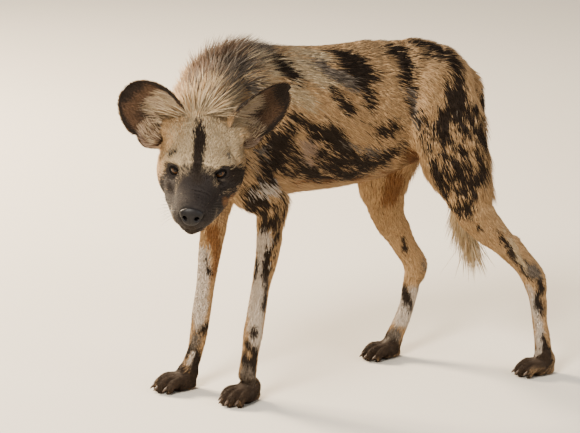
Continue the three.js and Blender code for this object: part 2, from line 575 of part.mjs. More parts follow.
function nosePad(grow) {
  const outline = new THREE.Shape(NOSE_PAD.map(([a, u], i) => new THREE.Vector2(a + (i % 3 ? grow : -grow),
    u + (i < 2 ? grow : -grow))));
  const geometry = new THREE.ExtrudeGeometry(outline, { depth: 48 + 2 * grow, bevelEnabled: false });
  const axes = new THREE.Matrix4().set(1, 0, 0, 0, 0, 0, -1, 24 + grow, 0, 1, 0, 0, 0, 0, 0, 1);
  return solidOf(geometry.applyMatrix4(HEAD.clone().multiply(axes)));
}
const nostrils = union([1, -1].map((side) => spike(HEAD, [[108, side * 9, -31], [102, side * 11, -31], [94, side * 9, -30]],
  [5, 4], [3.4, 3], [0, 1, 0], 8)));
add('nose', largest(head.intersect(nosePad(0)).subtract(nostrils)), 'black', { roughness: 0.35 });
head = head.subtract(nosePad(GAP));

function eyeSpace(side) {
  const frame = HEAD.clone().multiply(new THREE.Matrix4().makeTranslation(EYE_SEAT[0], side * EYE_SEAT[1], EYE_SEAT[2]))
    .multiply(new THREE.Matrix4().makeRotationZ(side * EYE_TURN * DEGREE));
  const centre = new THREE.Vector3().setFromMatrixPosition(frame);
  const ball = (radius) => solidOf(new THREE.SphereGeometry(radius * SIZE, 16, 10).translate(...centre.toArray()));
  const almond = new THREE.Shape();
  almond.moveTo(side * 11, -3.5);
  almond.quadraticCurveTo(0, -11, -side * 11, 2);
  almond.quadraticCurveTo(side * 1, 14, side * 11, -3.5);
  const slot = new THREE.ExtrudeGeometry(almond, { depth: 30, bevelEnabled: false, curveSegments: 5 });
  const outward = new THREE.Matrix4().set(0, 0, 1, 6, -1, 0, 0, 0, 0, 1, 0, 0, 0, 0, 0, 1);
  return { eye: ball(EYE_RADIUS), space: union([ball(EYE_RADIUS + 0.3), solidOf(slot.applyMatrix4(frame.clone().multiply(outward)))]) };
}

for (const [name, side] of [['eye_left', 1], ['eye_right', -1]]) {
  const { eye, space } = eyeSpace(side);
  head = head.subtract(space);
  add(name, eye, 'amber', { roughness: 0.15 });
}

// Ears: rounded cups whose edges curl forward, rooted on the skull
const EARS = {
  ear_left: { root: [-77, 63, 31], along: [-0.57, 0.66, 0.49], facing: [0.75, 0.66, -0.03], reach: 1.03, spread: 0.94,
    curls: [1.5, 0.63], bend: 0, base: 0.85 },
  ear_right: { root: [-73, -54, 28], along: [-0.19, -0.72, 0.66], facing: [0.94, 0.05, 0.33], reach: 0.98, spread: 1.03,
    curls: [1.18, 0.5], bend: 10, base: 0.76 },
};

function ear({ root, along, facing, reach, spread, curls, bend, base }) {
  const up = new THREE.Vector3(...along).normalize();
  const out = new THREE.Vector3(...facing).addScaledVector(up, -up.dot(new THREE.Vector3(...facing))).normalize();
  const wide = new THREE.Vector3().crossVectors(out, up);
  const rows = [-0.2, -0.06, 0.08, 0.22, 0.38, 0.54, 0.68, 0.8, 0.9, 0.97, 1];
  const columns = [-1, -0.8, -0.55, -0.28, 0, 0.28, 0.55, 0.8, 1];
  const points = [];
  const at = (layer, i, j) => (layer * rows.length + i) * columns.length + j;
  for (const layer of [0, 1]) {
    for (const s of rows) {
      const half = EAR_HALF_WIDTH * spread * (s > 0.42 ? Math.sqrt(1 - ((s - 0.42) / 0.6) ** 2)
        : base + (1 - base) * THREE.MathUtils.smoothstep(s, -0.2, 0.42));
      const curl = THREE.MathUtils.lerp(...curls, THREE.MathUtils.clamp(s, 0, 1));
      for (const u of columns) {
        const radius = half / Math.sin(curl);
        const shell = radius - layer * EAR_THICKNESS * (1 - 0.5 * Math.abs(u)) * (1 - 0.35 * s);
        points.push(new THREE.Vector3(...root).addScaledVector(up, s * EAR_LENGTH * reach)
          .addScaledVector(wide, shell * Math.sin(curl * u))
          .addScaledVector(out, bend * s * s - 4 + radius * Math.cos(curl) - shell * Math.cos(curl * u))
          .applyMatrix4(HEAD));
      }
    }
  }
  const triangles = [];
  const quad = (a, b, c, d) => triangles.push([a, b, c], [a, c, d]);
  for (let i = 0; i < rows.length - 1; i++) {
    for (let j = 0; j < columns.length - 1; j++) {
      quad(at(0, i, j), at(0, i, j + 1), at(0, i + 1, j + 1), at(0, i + 1, j));
      quad(at(1, i, j), at(1, i + 1, j), at(1, i + 1, j + 1), at(1, i, j + 1));
    }
    quad(at(0, i, 0), at(0, i + 1, 0), at(1, i + 1, 0), at(1, i, 0));
    const last = columns.length - 1;
    quad(at(0, i, last), at(1, i, last), at(1, i + 1, last), at(0, i + 1, last));
  }
  for (let j = 0; j < columns.length - 1; j++) {
    const last = rows.length - 1;
    quad(at(0, 0, j), at(1, 0, j), at(1, 0, j + 1), at(0, 0, j + 1));
    quad(at(0, last, j), at(0, last, j + 1), at(1, last, j + 1), at(1, last, j));
  }
  return solid({ points, triangles });
}

const skull = solid(inflated(headFlesh, GAP * 1.2));
for (const [name, place] of Object.entries(EARS)) {
  add(name, largest(ear(place).subtract(skull)), 'black');
}
add('head', largest(head), 'tan');

// Neck with its mane, bent clear of the shoulders, head and ears
const earSpace = union(Object.values(EARS).map((place) => solid(thickened(ear(place), GAP * 1.5))));
const shoulders = [NECK_CUT, THROAT_CUT].reduce((shape, cut) => beyond(shape, BODY, cut.at, back(cut), -GAP / 2),
  solid(inflated(trunkFlesh, GAP * 1.5)));
const nape = beyond(solid(inflated(headFlesh, GAP * 1.5)), HEAD, HEAD_CUT.at, HEAD_CUT.towards, -GAP / 2);
const locks = union(mane()).subtract(union([shoulders, nape, legSpace]));
add('neck', largest(union([neck, locks]).subtract(earSpace)), 'grey');

export default dog;
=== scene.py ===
"""A life-size African wild dog, standing with its head lowered and turned, on a plain pale floor."""
import math

import bmesh
import bpy
import numpy as np
from mathutils import Matrix, Vector
from mathutils.bvhtree import BVHTree


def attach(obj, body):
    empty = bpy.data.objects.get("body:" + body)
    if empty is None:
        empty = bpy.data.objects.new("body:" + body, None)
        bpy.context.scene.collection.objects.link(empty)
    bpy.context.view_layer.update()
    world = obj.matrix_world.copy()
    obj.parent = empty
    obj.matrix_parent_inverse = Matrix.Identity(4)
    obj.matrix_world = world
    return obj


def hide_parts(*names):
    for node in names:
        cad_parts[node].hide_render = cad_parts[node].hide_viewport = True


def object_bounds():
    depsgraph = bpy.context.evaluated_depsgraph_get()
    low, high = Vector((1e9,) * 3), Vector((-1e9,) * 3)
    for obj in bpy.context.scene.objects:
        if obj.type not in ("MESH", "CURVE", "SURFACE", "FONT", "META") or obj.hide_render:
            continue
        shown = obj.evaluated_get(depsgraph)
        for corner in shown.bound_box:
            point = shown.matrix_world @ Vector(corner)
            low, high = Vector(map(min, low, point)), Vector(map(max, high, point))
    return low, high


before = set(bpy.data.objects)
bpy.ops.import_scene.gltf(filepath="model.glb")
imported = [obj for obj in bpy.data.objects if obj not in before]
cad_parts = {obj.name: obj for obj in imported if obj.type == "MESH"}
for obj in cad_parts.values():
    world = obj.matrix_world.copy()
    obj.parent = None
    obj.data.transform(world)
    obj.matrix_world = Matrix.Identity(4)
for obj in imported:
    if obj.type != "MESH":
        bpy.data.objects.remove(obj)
cad_low, cad_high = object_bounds()

# Camera. It stands five and a half metres off, low and ahead of the dog's left side, and looks a little down. Its
# lens is long, so the dog fills most of a picture of 580 by 433 pixels.
CAMERA_PLACE = Vector((4.7467, -2.3152, 1.6656))
CAMERA_TARGET = Vector((-0.0900, -0.0596, 0.335))
CAMERA_LENS = 181.24
SENSOR_WIDTH = 36.0
PICTURE_WIDTH = 580
PICTURE_HEIGHT = 433
camera_data = bpy.data.cameras.new("camera")
camera_data.lens = CAMERA_LENS
camera_data.sensor_width = SENSOR_WIDTH
camera = bpy.data.objects.new("camera", camera_data)
camera.location = CAMERA_PLACE
camera.rotation_euler = (CAMERA_TARGET - CAMERA_PLACE).to_track_quat("-Z", "Y").to_euler()
bpy.context.scene.collection.objects.link(camera)
bpy.context.scene.camera = camera

# Flesh. The dog's flesh under its coat: runs of tapered, flattened capsules through stations along the trunk,
# neck, limbs and head, melted into one another. Stations are written ahead, left and up of the spine, in
# millimetres, with a radius and a half width, and each run lies under the tips of the hair by its coat's depth.
CENTRE = (90.0, 33.4)
STANCE = 5.0
FAR = 1.0
TINY = 1e-12


def frame_at(ahead, left, up, yaw=0.0, pitch=0.0, roll=0.0, scale=1.0):
    """The matrix from millimetres ahead, left and up of a place on the dog to the model's metres."""
    body = Matrix(((0, 1, 0, -CENTRE[0]), (-1, 0, 0, CENTRE[1]), (0, 0, 1, STANCE), (0, 0, 0, 1)))
    turned = Matrix.Rotation(math.radians(yaw), 4, "Z") @ Matrix.Rotation(math.radians(-pitch), 4, "Y")
    turned = turned @ Matrix.Rotation(math.radians(-roll), 4, "X") @ Matrix.Scale(scale, 4)
    return np.array(Matrix.Scale(0.001, 4) @ body @ Matrix.Translation((ahead, left, up)) @ turned)


BODY = frame_at(0, 0, 0)
HEAD = frame_at(ahead=376, left=222, up=492, yaw=60, pitch=-16, roll=3.5)


def placed(matrix, points):
    """Points written in one of the dog's frames, in the model's metres."""
    return np.asarray(points, float) @ matrix[:3, :3].T + matrix[:3, 3]


def written_in(matrix, points):
    """Points of the model, written in one of the dog's frames."""
    return (points - matrix[:3, 3]) @ np.linalg.inv(matrix[:3, :3]).T


def turned(matrix, direction):
    """A direction written in one of the dog's frames, as a unit vector of the model."""
    way = matrix[:3, :3] @ np.asarray(direction, float)
    return way / np.linalg.norm(way)


def curve_point(points, along):
    """A point on the smooth curve through some points, `along` of them from the first."""
    i = min(int(along), len(points) - 2)
    before = points[i - 1] if i else 2 * points[0] - points[1]
    after = points[i + 2] if i + 2 < len(points) else 2 * points[-1] - points[-2]
    p = [before, points[i], points[i + 1], after]
    d = [max(np.linalg.norm(b - a) ** 0.5, 1e-6) for a, b in zip(p, p[1:])]
    out = ((p[1] - p[0]) / d[0] - (p[2] - p[0]) / (d[0] + d[1]) + (p[2] - p[1]) / d[1]) * d[1]
    into = ((p[2] - p[1]) / d[1] - (p[3] - p[1]) / (d[1] + d[2]) + (p[3] - p[2]) / d[2]) * d[1]
    t = along - i
    bend = -3 * p[1] + 3 * p[2] - 2 * out - into
    twist = 2 * p[1] - 2 * p[2] + out + into
    return p[1] + out * t + bend * t * t + twist * t * t * t


masses = []


def mass(matrix, stations, blend=14.0, across=(0, 1, 0), carve=False, coat=0.0, part="head", lie=1):
    """Adds one run of flesh, `coat` millimetres under the tips of its hair."""
    rows = np.array([list(s) + [s[3]] * (5 - len(s)) for s in stations], float)
    centres = placed(matrix, rows[:, :3])
    scale = np.linalg.norm(matrix[:3, 0])
    steps = max((len(rows) - 1) * 4, 0)
    knots = []
    for step in range(steps + 1):
        along = step / 4
        low = min(int(along), len(rows) - 1)
        high = min(low + 1, len(rows) - 1)
        t = along - low
        mix = 0.5 * (t * t * (3 - 2 * t)) + 0.5 * t
        radius, width = (rows[low, 3:] * (1 - mix) + rows[high, 3:] * mix) * scale - coat * 0.001
        knots.append((curve_point(centres, along) if len(rows) > 1 else centres[0], radius, width))
    if len(knots) == 1:
        knots = knots * 2
    pieces = []
    for (a, ra, wa), (b, rb, wb) in zip(knots, knots[1:]):
        run = b - a
        side = np.cross(run, (0, 0, 1)) if across is None else matrix[:3, :3] @ np.array(across, float)
        pieces.append((a, run, side / max(np.linalg.norm(side), TINY), ra, rb, wa, wb))
    reach = max(max(k[1], k[2]) for k in knots) + blend * scale + 0.004
    places = np.array([k[0] for k in knots])
    masses.append({"pieces": pieces, "low": places.min(0) - reach, "high": places.max(0) + reach,
                   "blend": blend * scale, "carve": carve, "part": part, "lie": lie})


def mass_distance(shape, p):
    """How far points are outside one run of flesh, and the share of its length where each is nearest."""
    least = np.full(len(p), FAR)
    where = np.zeros(len(p), np.float32)
    for number, (start, run, side, ra, rb, wa, wb) in enumerate(shape["pieces"]):
        q = p - start
        t = np.clip(q @ run / max(run @ run, TINY), 0, 1)
        radius = ra + (rb - ra) * t
        squeeze = radius / (wa + (wb - wa) * t) - 1
        q = q - t[:, None] * run
        q = q + (q @ side * squeeze)[:, None] * side
        length = np.sqrt((q * q).sum(1)) + TINY
        q = q + (q @ side * squeeze)[:, None] * side
        slope = np.sqrt((q * q).sum(1)) / length
        distance = (length - radius) / np.maximum(slope, 0.2)
        closer = distance < least
        least[closer] = distance[closer]
        where[closer] = number + t[closer]
    return least, where / len(shape["pieces"])


def melted(there, distance, blend):
    """The lesser of two distances, with a fillet where they are close."""
    close = np.maximum(blend - np.abs(there - distance), 0) / blend
    return np.minimum(there, distance) - close * close * blend * 0.25


def flesh_at(p):
    """How far points are outside the dog's skin."""
    value = np.full(len(p), FAR)
    for shape in masses:
        near = np.nonzero(np.all((p > shape["low"]) & (p < shape["high"]), axis=1))[0]
        if len(near):
            distance = mass_distance(shape, p[near])[0]
            if shape["carve"]:
                value[near] = -melted(-value[near], distance, shape["blend"])
            else:
                value[near] = melted(value[near], distance, shape["blend"])
    return value


mass(BODY, [(-192, 0, 551, 92, 76), (-150, 0, 534, 119, 78), (-50, 0, 520, 137, 80), (30, 0, 516, 139, 86),
            (110, 0, 518, 141, 88), (175, 0, 518, 136, 84), (230, 0, 504, 112, 72)],
     coat=7, part="trunk", lie=-1)
mass(BODY, [(200, 0, 552, 84, 60), (240, 22, 552, 80, 60), (274, 58, 548, 74, 58), (304, 100, 544, 66, 56),
            (334, 140, 538, 56, 52)], blend=40, across=None, coat=8, part="neck", lie=-1)
LEGS = {
    "leg_front_left": [(212, 52, 560, 44, 26), (262, 66, 486, 50, 34), (214, 78, 424, 48, 32),
                       (176, 84, 382, 34, 27), (172, 81, 331, 26, 23), (176, 75, 274, 22, 20),
                       (186, 70, 220, 18.5, 17.5), (194, 65, 160, 19, 19.5), (198, 62, 130, 19.5, 21),
                       (202, 58, 92, 17, 18.5), (207, 55, 50, 18, 20)],
    "leg_front_right": [(212, -52, 560, 44, 26), (280, -66, 480, 50, 34), (238, -78, 420, 47, 32),
                        (206, -84, 376, 34, 27), (212, -82, 320, 27, 24), (222, -81, 262, 23, 21),
                        (234, -78, 190, 19, 18), (243, -77, 140, 19, 19.5), (248, -76, 108, 18, 19.5),
                        (257, -74, 70, 16, 18), (271, -73, 34, 17, 19)],
    "leg_hind_left": [(-205, 48, 556, 62, 34), (-204, 66, 500, 76, 40), (-206, 86, 440, 70, 38),
                      (-227, 98, 384, 50, 31), (-240, 104, 336, 40, 26), (-268, 107, 298, 33, 23),
                      (-306, 110, 260, 25, 20), (-350, 113, 212, 20.5, 17), (-372, 115, 176, 22, 17),
                      (-380, 119, 140, 19, 16), (-382, 123, 100, 16, 15), (-386, 127, 66, 17, 17),
                      (-388, 129, 36, 18, 19)],
    "leg_hind_right": [(-205, -48, 556, 62, 34), (-186, -66, 500, 76, 40), (-168, -84, 440, 68, 38),
                       (-155, -92, 380, 55, 32), (-154, -95, 330, 44, 27), (-164, -95, 282, 34, 23),
                       (-190, -94, 232, 25, 19), (-214, -94, 190, 22, 17), (-220, -94, 168, 22, 17),
                       (-215, -95, 138, 19, 16), (-207, -96, 100, 16.5, 15), (-196, -97, 68, 17, 17),
                       (-182, -97, 40, 18, 19)],
}
for leg, stations in LEGS.items():
    coat_depth = (7, 6, 5, 4, 3) + (2.2,) * 9
    thinned = [s[:3] + (s[3] - c, s[4] - c) for s, c in zip(stations, coat_depth)]
    mass(BODY, thinned, blend=26, part=leg)
mass(BODY, [(156, 84, 388, 18, 15), (166, 84, 362, 17, 14)], blend=16, coat=3, part="leg_front_left")
mass(BODY, [(186, -84, 384, 18, 15), (198, -84, 358, 17, 14)], blend=16, coat=3, part="leg_front_right")
mass(BODY, [(-188, 98, 418, 26, 24), (-206, 100, 374, 22, 22)], blend=24, coat=4, part="leg_hind_left")
mass(BODY, [(-122, -90, 394, 26, 24), (-128, -93, 345, 24, 23)], blend=24, coat=4, part="leg_hind_right")
mass(BODY, [(-326, 110, 264, 10, 9), (-352, 111, 238, 7, 7), (-386, 115, 189, 9, 10),
            (-384, 117, 166, 12, 12)], blend=10, coat=1.5, part="leg_hind_left")
mass(BODY, [(-194, -94, 264, 10, 9), (-213, -94, 226, 7, 7), (-240, -94, 180, 9, 10),
            (-232, -94, 158, 12, 12)], blend=10, coat=1.5, part="leg_hind_right")
TAIL = [(-250, 0, 584, 24), (-290, -5, 560, 20), (-311, -16, 510, 18), (-312, -28, 450, 17),
        (-305, -40, 380, 16), (-302, -46, 310, 14), (-312, -45, 255, 9)]
tail_thinned = [s[:3] + (s[3] - c,) for s, c in zip(TAIL, (6, 6, 6, 6, 7, 7, 4))]
mass(BODY, tail_thinned, blend=16, across=None, part="tail")

# Head. Skull, muzzle, jaw, cheeks, lips and brows, with a socket carved for each eye and a lid's dome over it.
EYE_RADIUS = 12.0
EYE_SEAT = (-4.0, 37.0, 0.0)
EYE_TURN = 26.0
mass(HEAD, [(-100, 0, 14, 42, 42), (-66, 0, 16, 50, 55), (-32, 0, 4, 50, 57), (-4, 0, -8, 40, 46)],
     blend=30, coat=2.5)
mass(HEAD, [(0, 0, -22, 34, 42), (34, 0, -28, 29, 35), (70, 0, -33, 24, 31), (84, 0, -34, 20, 26)],
     blend=26, coat=1)
mass(HEAD, [(86, 0, -70, 9, 13), (66, 0, -72, 13, 24), (26, 0, -70, 17, 36), (-24, 0, -66, 24, 46),
            (-68, 0, -52, 34, 44)], blend=12, coat=2)
for side in (1, -1):
    mass(HEAD, [(-6, side * 47, -24, 18, 12), (-38, side * 60, -18, 24, 16), (-74, side * 54, -10, 27, 18)],
         blend=22, coat=3)
    mass(HEAD, [(-36, side * 48, -42, 30, 22), (-62, side * 44, -52, 28, 22)], blend=26, coat=3)
    mass(HEAD, [(90, side * 8, -50, 9, 8), (72, side * 25, -52, 12, 9), (40, side * 36, -53, 13, 9),
                (12, side * 46, -52, 12, 8)], blend=20, coat=1)
    mass(HEAD, [(-6, side * 20, 16, 12), (-8, side * 36, 18, 8), (-20, side * 50, 12, 9)], blend=18, coat=1)
    mass(HEAD, [(-82, side * 42, 27, 25, 23), (-84, side * 54, 30, 18, 17)], blend=22, coat=2)
    mass(HEAD, [(EYE_SEAT[0] + 15, side * (EYE_SEAT[1] + 7), EYE_SEAT[2] + 1, 10, 12)], blend=12, carve=True)
    mass(HEAD, [(EYE_SEAT[0], side * EYE_SEAT[1], EYE_SEAT[2], EYE_RADIUS + 1.6)], blend=5)
    turn = math.radians(side * EYE_TURN)
    slit = [(EYE_SEAT[0] + x * math.cos(turn) - side * y * math.sin(turn),
             side * EYE_SEAT[1] + x * math.sin(turn) + side * y * math.cos(turn), EYE_SEAT[2] + z, r)
            for x, y, z, r in ((8, -9.5, -3, 2.4), (12.4, -4, -0.4, 5.6), (13.2, 0.5, 0.2, 6.6),
                               (12.4, 5, 0.8, 5.6), (8.4, 10, 1.6, 2.4))]
    mass(HEAD, slit, blend=1.5, carve=True)
    mass(HEAD, [(108, side * 11, -37, 5.2), (98, side * 10, -36, 4.6)], blend=2, carve=True)
    mass(HEAD, [(106, side * 13, -38, 4.2), (101.5, side * 18.5, -40, 3.6), (95, side * 25, -42, 2.6)],
         blend=2, carve=True)
    mass(HEAD, [(100, side * 3, -63, 1.3), (95, side * 10, -64, 1.4), (82, side * 19, -64, 1.5),
                (64, side * 28, -65, 1.6), (38, side * 38, -67, 1.6), (12, side * 46, -67, 1.2)],
         blend=4, carve=True)

# Paws. Four toes round a palm on each foot, resting on their pads. A toe is written as its reach ahead of the foot's
# middle, its place to the left and its half thickness.
PAWS = {
    "leg_front_left": frame_at(209, 50, -5, 18, scale=1.1),
    "leg_front_right": frame_at(288, -73, -5, 0, scale=1.1),
    "leg_hind_left": frame_at(-381, 130, -5, -6, scale=1.04),
    "leg_hind_right": frame_at(-162, -96, -5, 3, scale=1.04),
}
TOES = ((30, 21, 8.5), (41, 7.5, 9), (41, -7.5, 9), (30, -21, 8.5))
for leg, paw in PAWS.items():
    mass(paw, [(-12, 0, 26, 17, 20), (2, 0, 18, 16, 22), (14, 0, 14, 13, 22)], blend=12, coat=1.2, part=leg)
    mass(paw, [(-16, 0, 10, 11, 17), (4, 0, 8, 9, 21)], blend=8, coat=0.8, part=leg)
    for reach, sideways, radius in TOES:
        mass(paw, [(8, sideways * 0.8, 20, radius, radius), (reach - 12, sideways, 19, radius, radius * 0.95),
                   (reach - 2, sideways, 13, radius * 0.95, radius * 0.9),
                   (reach, sideways, 8, radius * 0.85, radius * 0.85)], blend=5, coat=0.8, part=leg)

# Markings. The blotched coat of the species, as brush strokes of black, white, rust and grizzled hair over a sandy
# ground. Strokes on the side that the picture shows are written as places and half widths in its pixels, and laid
# on the solids along the camera's view. The far side wears like blotches, shifted.
PICTURE_FOCAL = CAMERA_LENS / SENSOR_WIDTH * PICTURE_WIDTH
GROUNDS = [
    ("head", "cream", [(330, 165, 530, 62), (372, 222, 492, 66), (400, 262, 450, 52)]),
    ("belly", "rust", [(-150, 0, 420, 24), (-40, 0, 378, 20), (60, 0, 372, 20), (190, 0, 380, 26)]),
    ("chest", "dark", [(255, -20, 480, 52), (270, 60, 480, 46), (300, 120, 500, 40)]),
    ("crest", "grizzled", [(190, 0, 640, 34), (245, 20, 626, 38), (290, 80, 606, 36), (315, 120, 590, 30)]),
    ("far crest", "ear", [(225, -14, 632, 20), (275, 40, 618, 20), (318, 92, 600, 24)]),
    ("tail ring", "dark", [(-309, -10, 520, 24), (-315, -26, 440, 26)]),
    ("tail brush", "cream", [(-308, -34, 400, 26), (-302, -46, 310, 40), (-320, -46, 160, 80)]),
    ("inner thigh", "rust", [(-190, 0, 440, 50), (-215, 30, 440, 40)]),
    ("near fore paw", "paw", [(212, 52, 20, 34), (236, 50, 8, 34)]),
    ("far fore paw", "paw", [(290, -73, 20, 34), (315, -73, 8, 34)]),
    ("near hind paw", "paw", [(-376, 130, 20, 32), (-352, 128, 8, 32)]),
    ("far hind paw", "paw", [(-160, -96, 20, 34), (-134, -94, 8, 34)]),
    ("far shank", "white", [(-212, -90, 120, 20), (-196, -92, 72, 20)]),
    ("far shank rear", "grizzled", [(-232, -96, 180, 12), (-226, -98, 140, 10)]),
]
TRUNK_STROKES = [
    ("withers ground", "cream", [(262, 60, 12), (300, 66, 13), (322, 76, 10)]),
    ("shoulder cream", "cream", [(240, 80, 10), (262, 90, 10), (285, 86, 9), (304, 100, 8)]),
    ("nape cream", "cream", [(205, 100, 9), (215, 84, 8)]),
    ("near shoulder", "dark", [(272, 112, 6), (270, 134, 10), (266, 158, 12), (268, 174, 10)]),
    ("elbow rear", "dark", [(284, 168, 8), (300, 172, 8), (322, 174, 10)]),
    ("flank mass", "dark", [(303, 122, 4), (318, 132, 8), (332, 144, 10), (345, 154, 9)]),
    ("lower flank", "dark", [(300, 168, 8), (325, 169, 11), (352, 167, 11), (374, 160, 9)]),
    ("belly line", "dark", [(292, 178, 5), (320, 180, 5), (350, 178, 5)]),
    ("loin column", "dark", [(396, 58, 6), (401, 78, 6), (406, 96, 5), (411, 112, 4)]),
    ("mid back mass", "dark", [(334, 58, 6), (350, 70, 7), (360, 84, 6), (362, 98, 4)]),
    ("thigh mass", "dark", [(456, 106, 8), (462, 130, 12), (464, 155, 13), (462, 180, 12), (460, 198, 9)]),
    ("thigh rear mass", "dark", [(482, 112, 5), (485, 140, 7), (482, 166, 7)]),
    ("thigh front", "dark", [(425, 118, 3), (430, 140, 4), (438, 165, 6), (446, 190, 7)]),
    ("thigh middle", "dark", [(442, 108, 5), (447, 140, 9), (451, 165, 11), (452, 190, 9), (458, 206, 7)]),
    ("flank middle", "dark", [(312, 150, 7), (335, 160, 9), (360, 162, 9)]),
    ("behind shoulder", "dark", [(286, 140, 5), (290, 156, 7), (296, 170, 8)]),
    ("near chest", "dark", [(238, 174, 7), (246, 188, 8), (254, 202, 8), (264, 206, 6)]),
    ("under neck", "dark", [(244, 206, 6), (252, 214, 6)]),
    ("neck side", "grizzled", [(262, 150, 7), (258, 170, 7)]),
]
BACK_STROKES = [
    ("withers", "cream", [(285, 52, 7), (320, 58, 5)]),
    ("shoulder top", "cream", [(235, 62, 7), (250, 68, 7), (262, 82, 5)]),
    ("shoulder streak", "dark", [(262, 62, 6), (284, 75, 5)]),
    ("mid back", "dark", [(322, 52, 3), (345, 60, 6), (362, 75, 6)]),
    ("mid back lower", "dark", [(342, 72, 4), (358, 84, 5), (363, 104, 4)]),
    ("mid back slash", "dark", [(322, 84, 3), (334, 96, 5), (345, 108, 4)]),
    ("mid back streaks", "grizzled", [(303, 62, 3), (325, 72, 4), (345, 82, 5)]),
    ("loin top", "dark", [(384, 46, 3)]),
    ("loin", "dark", [(380, 51, 4), (394, 52, 6), (398, 66, 6), (402, 80, 4)]),
    ("loin lower", "grizzled", [(404, 90, 4), (410, 103, 4), (413, 115, 3)]),
    ("croup", "dark", [(404, 44, 4), (420, 47, 5), (436, 52, 5), (450, 62, 6)]),
    ("croup spot", "dark", [(418, 55, 4), (430, 57, 3)]),
]
SIDE_STROKES = [
    ("hip", "dark", [(454, 66, 6), (458, 80, 7), (456, 95, 7)]),
    ("hip front", "dark", [(440, 76, 3), (448, 86, 5)]),
    ("hip band", "dark", [(442, 106, 5), (458, 104, 7), (474, 104, 6)]),
    ("thigh", "dark", [(446, 113, 7), (452, 130, 10), (458, 150, 12), (461, 170, 13), (462, 188, 13),
        (462, 202, 9)]),
    ("thigh rear", "dark", [(474, 118, 7), (479, 136, 8), (479, 155, 8), (476, 172, 7)]),
    ("thigh front edge", "dark", [(417, 108, 3), (417, 122, 3), (419, 136, 3), (428, 150, 3), (433, 165, 4),
        (440, 180, 4), (446, 196, 4)]),
    ("thigh front streak", "tan", [(426, 126, 3), (432, 140, 3), (439, 158, 3)]),
    ("thigh spot 1", "tan", [(452, 117, 3), (453, 128, 3), (456, 134, 4)]),
    ("thigh spot 2", "tan", [(468, 135, 5), (478, 138, 4)]),
    ("thigh spot 3", "tan", [(470, 148, 3), (474, 156, 3)]),
    ("thigh spot 4", "tan", [(453, 168, 2), (449, 162, 3)]),
    ("thigh spot 5", "tan", [(450, 196, 4), (448, 190, 3)]),
    ("thigh spot 6", "tan", [(437, 142, 2), (440, 152, 3)]),
    ("hip fleck", "white", [(456, 103, 2), (461, 106, 2)]),
    ("flank oval", "dark", [(367, 127, 4), (380, 127, 6), (394, 121, 5)]),
    ("flank oval tail", "dark", [(362, 112, 2), (366, 122, 2)]),
    ("shoulder blade", "dark", [(290, 112, 3), (300, 122, 4), (311, 127, 6), (325, 124, 7), (332, 136, 8),
        (335, 148, 6)]),
    ("rib patch lower", "dark", [(318, 141, 4), (330, 150, 5)]),
    ("rib streak", "grizzled", [(340, 141, 3), (355, 146, 3), (371, 150, 4)]),
    ("belly band rear", "dark", [(342, 161, 5), (360, 165, 6), (375, 161, 7), (386, 150, 6),
        (397, 141, 4)]),
    ("belly band", "dark", [(287, 169, 5), (305, 171, 5), (325, 169, 6), (345, 169, 6), (360, 170, 5)]),
    ("belly", "rust", [(287, 181, 4), (310, 182, 3), (335, 181, 4), (350, 180, 4)]),
    ("belly rear", "rust", [(364, 178, 5), (376, 174, 5)]),
    ("rib tan streak", "tan", [(336, 151, 2), (352, 153, 3)]),
    ("rib pink patch", "pink", [(296, 138, 6), (305, 145, 7), (300, 155, 6), (306, 161, 4)]),
]
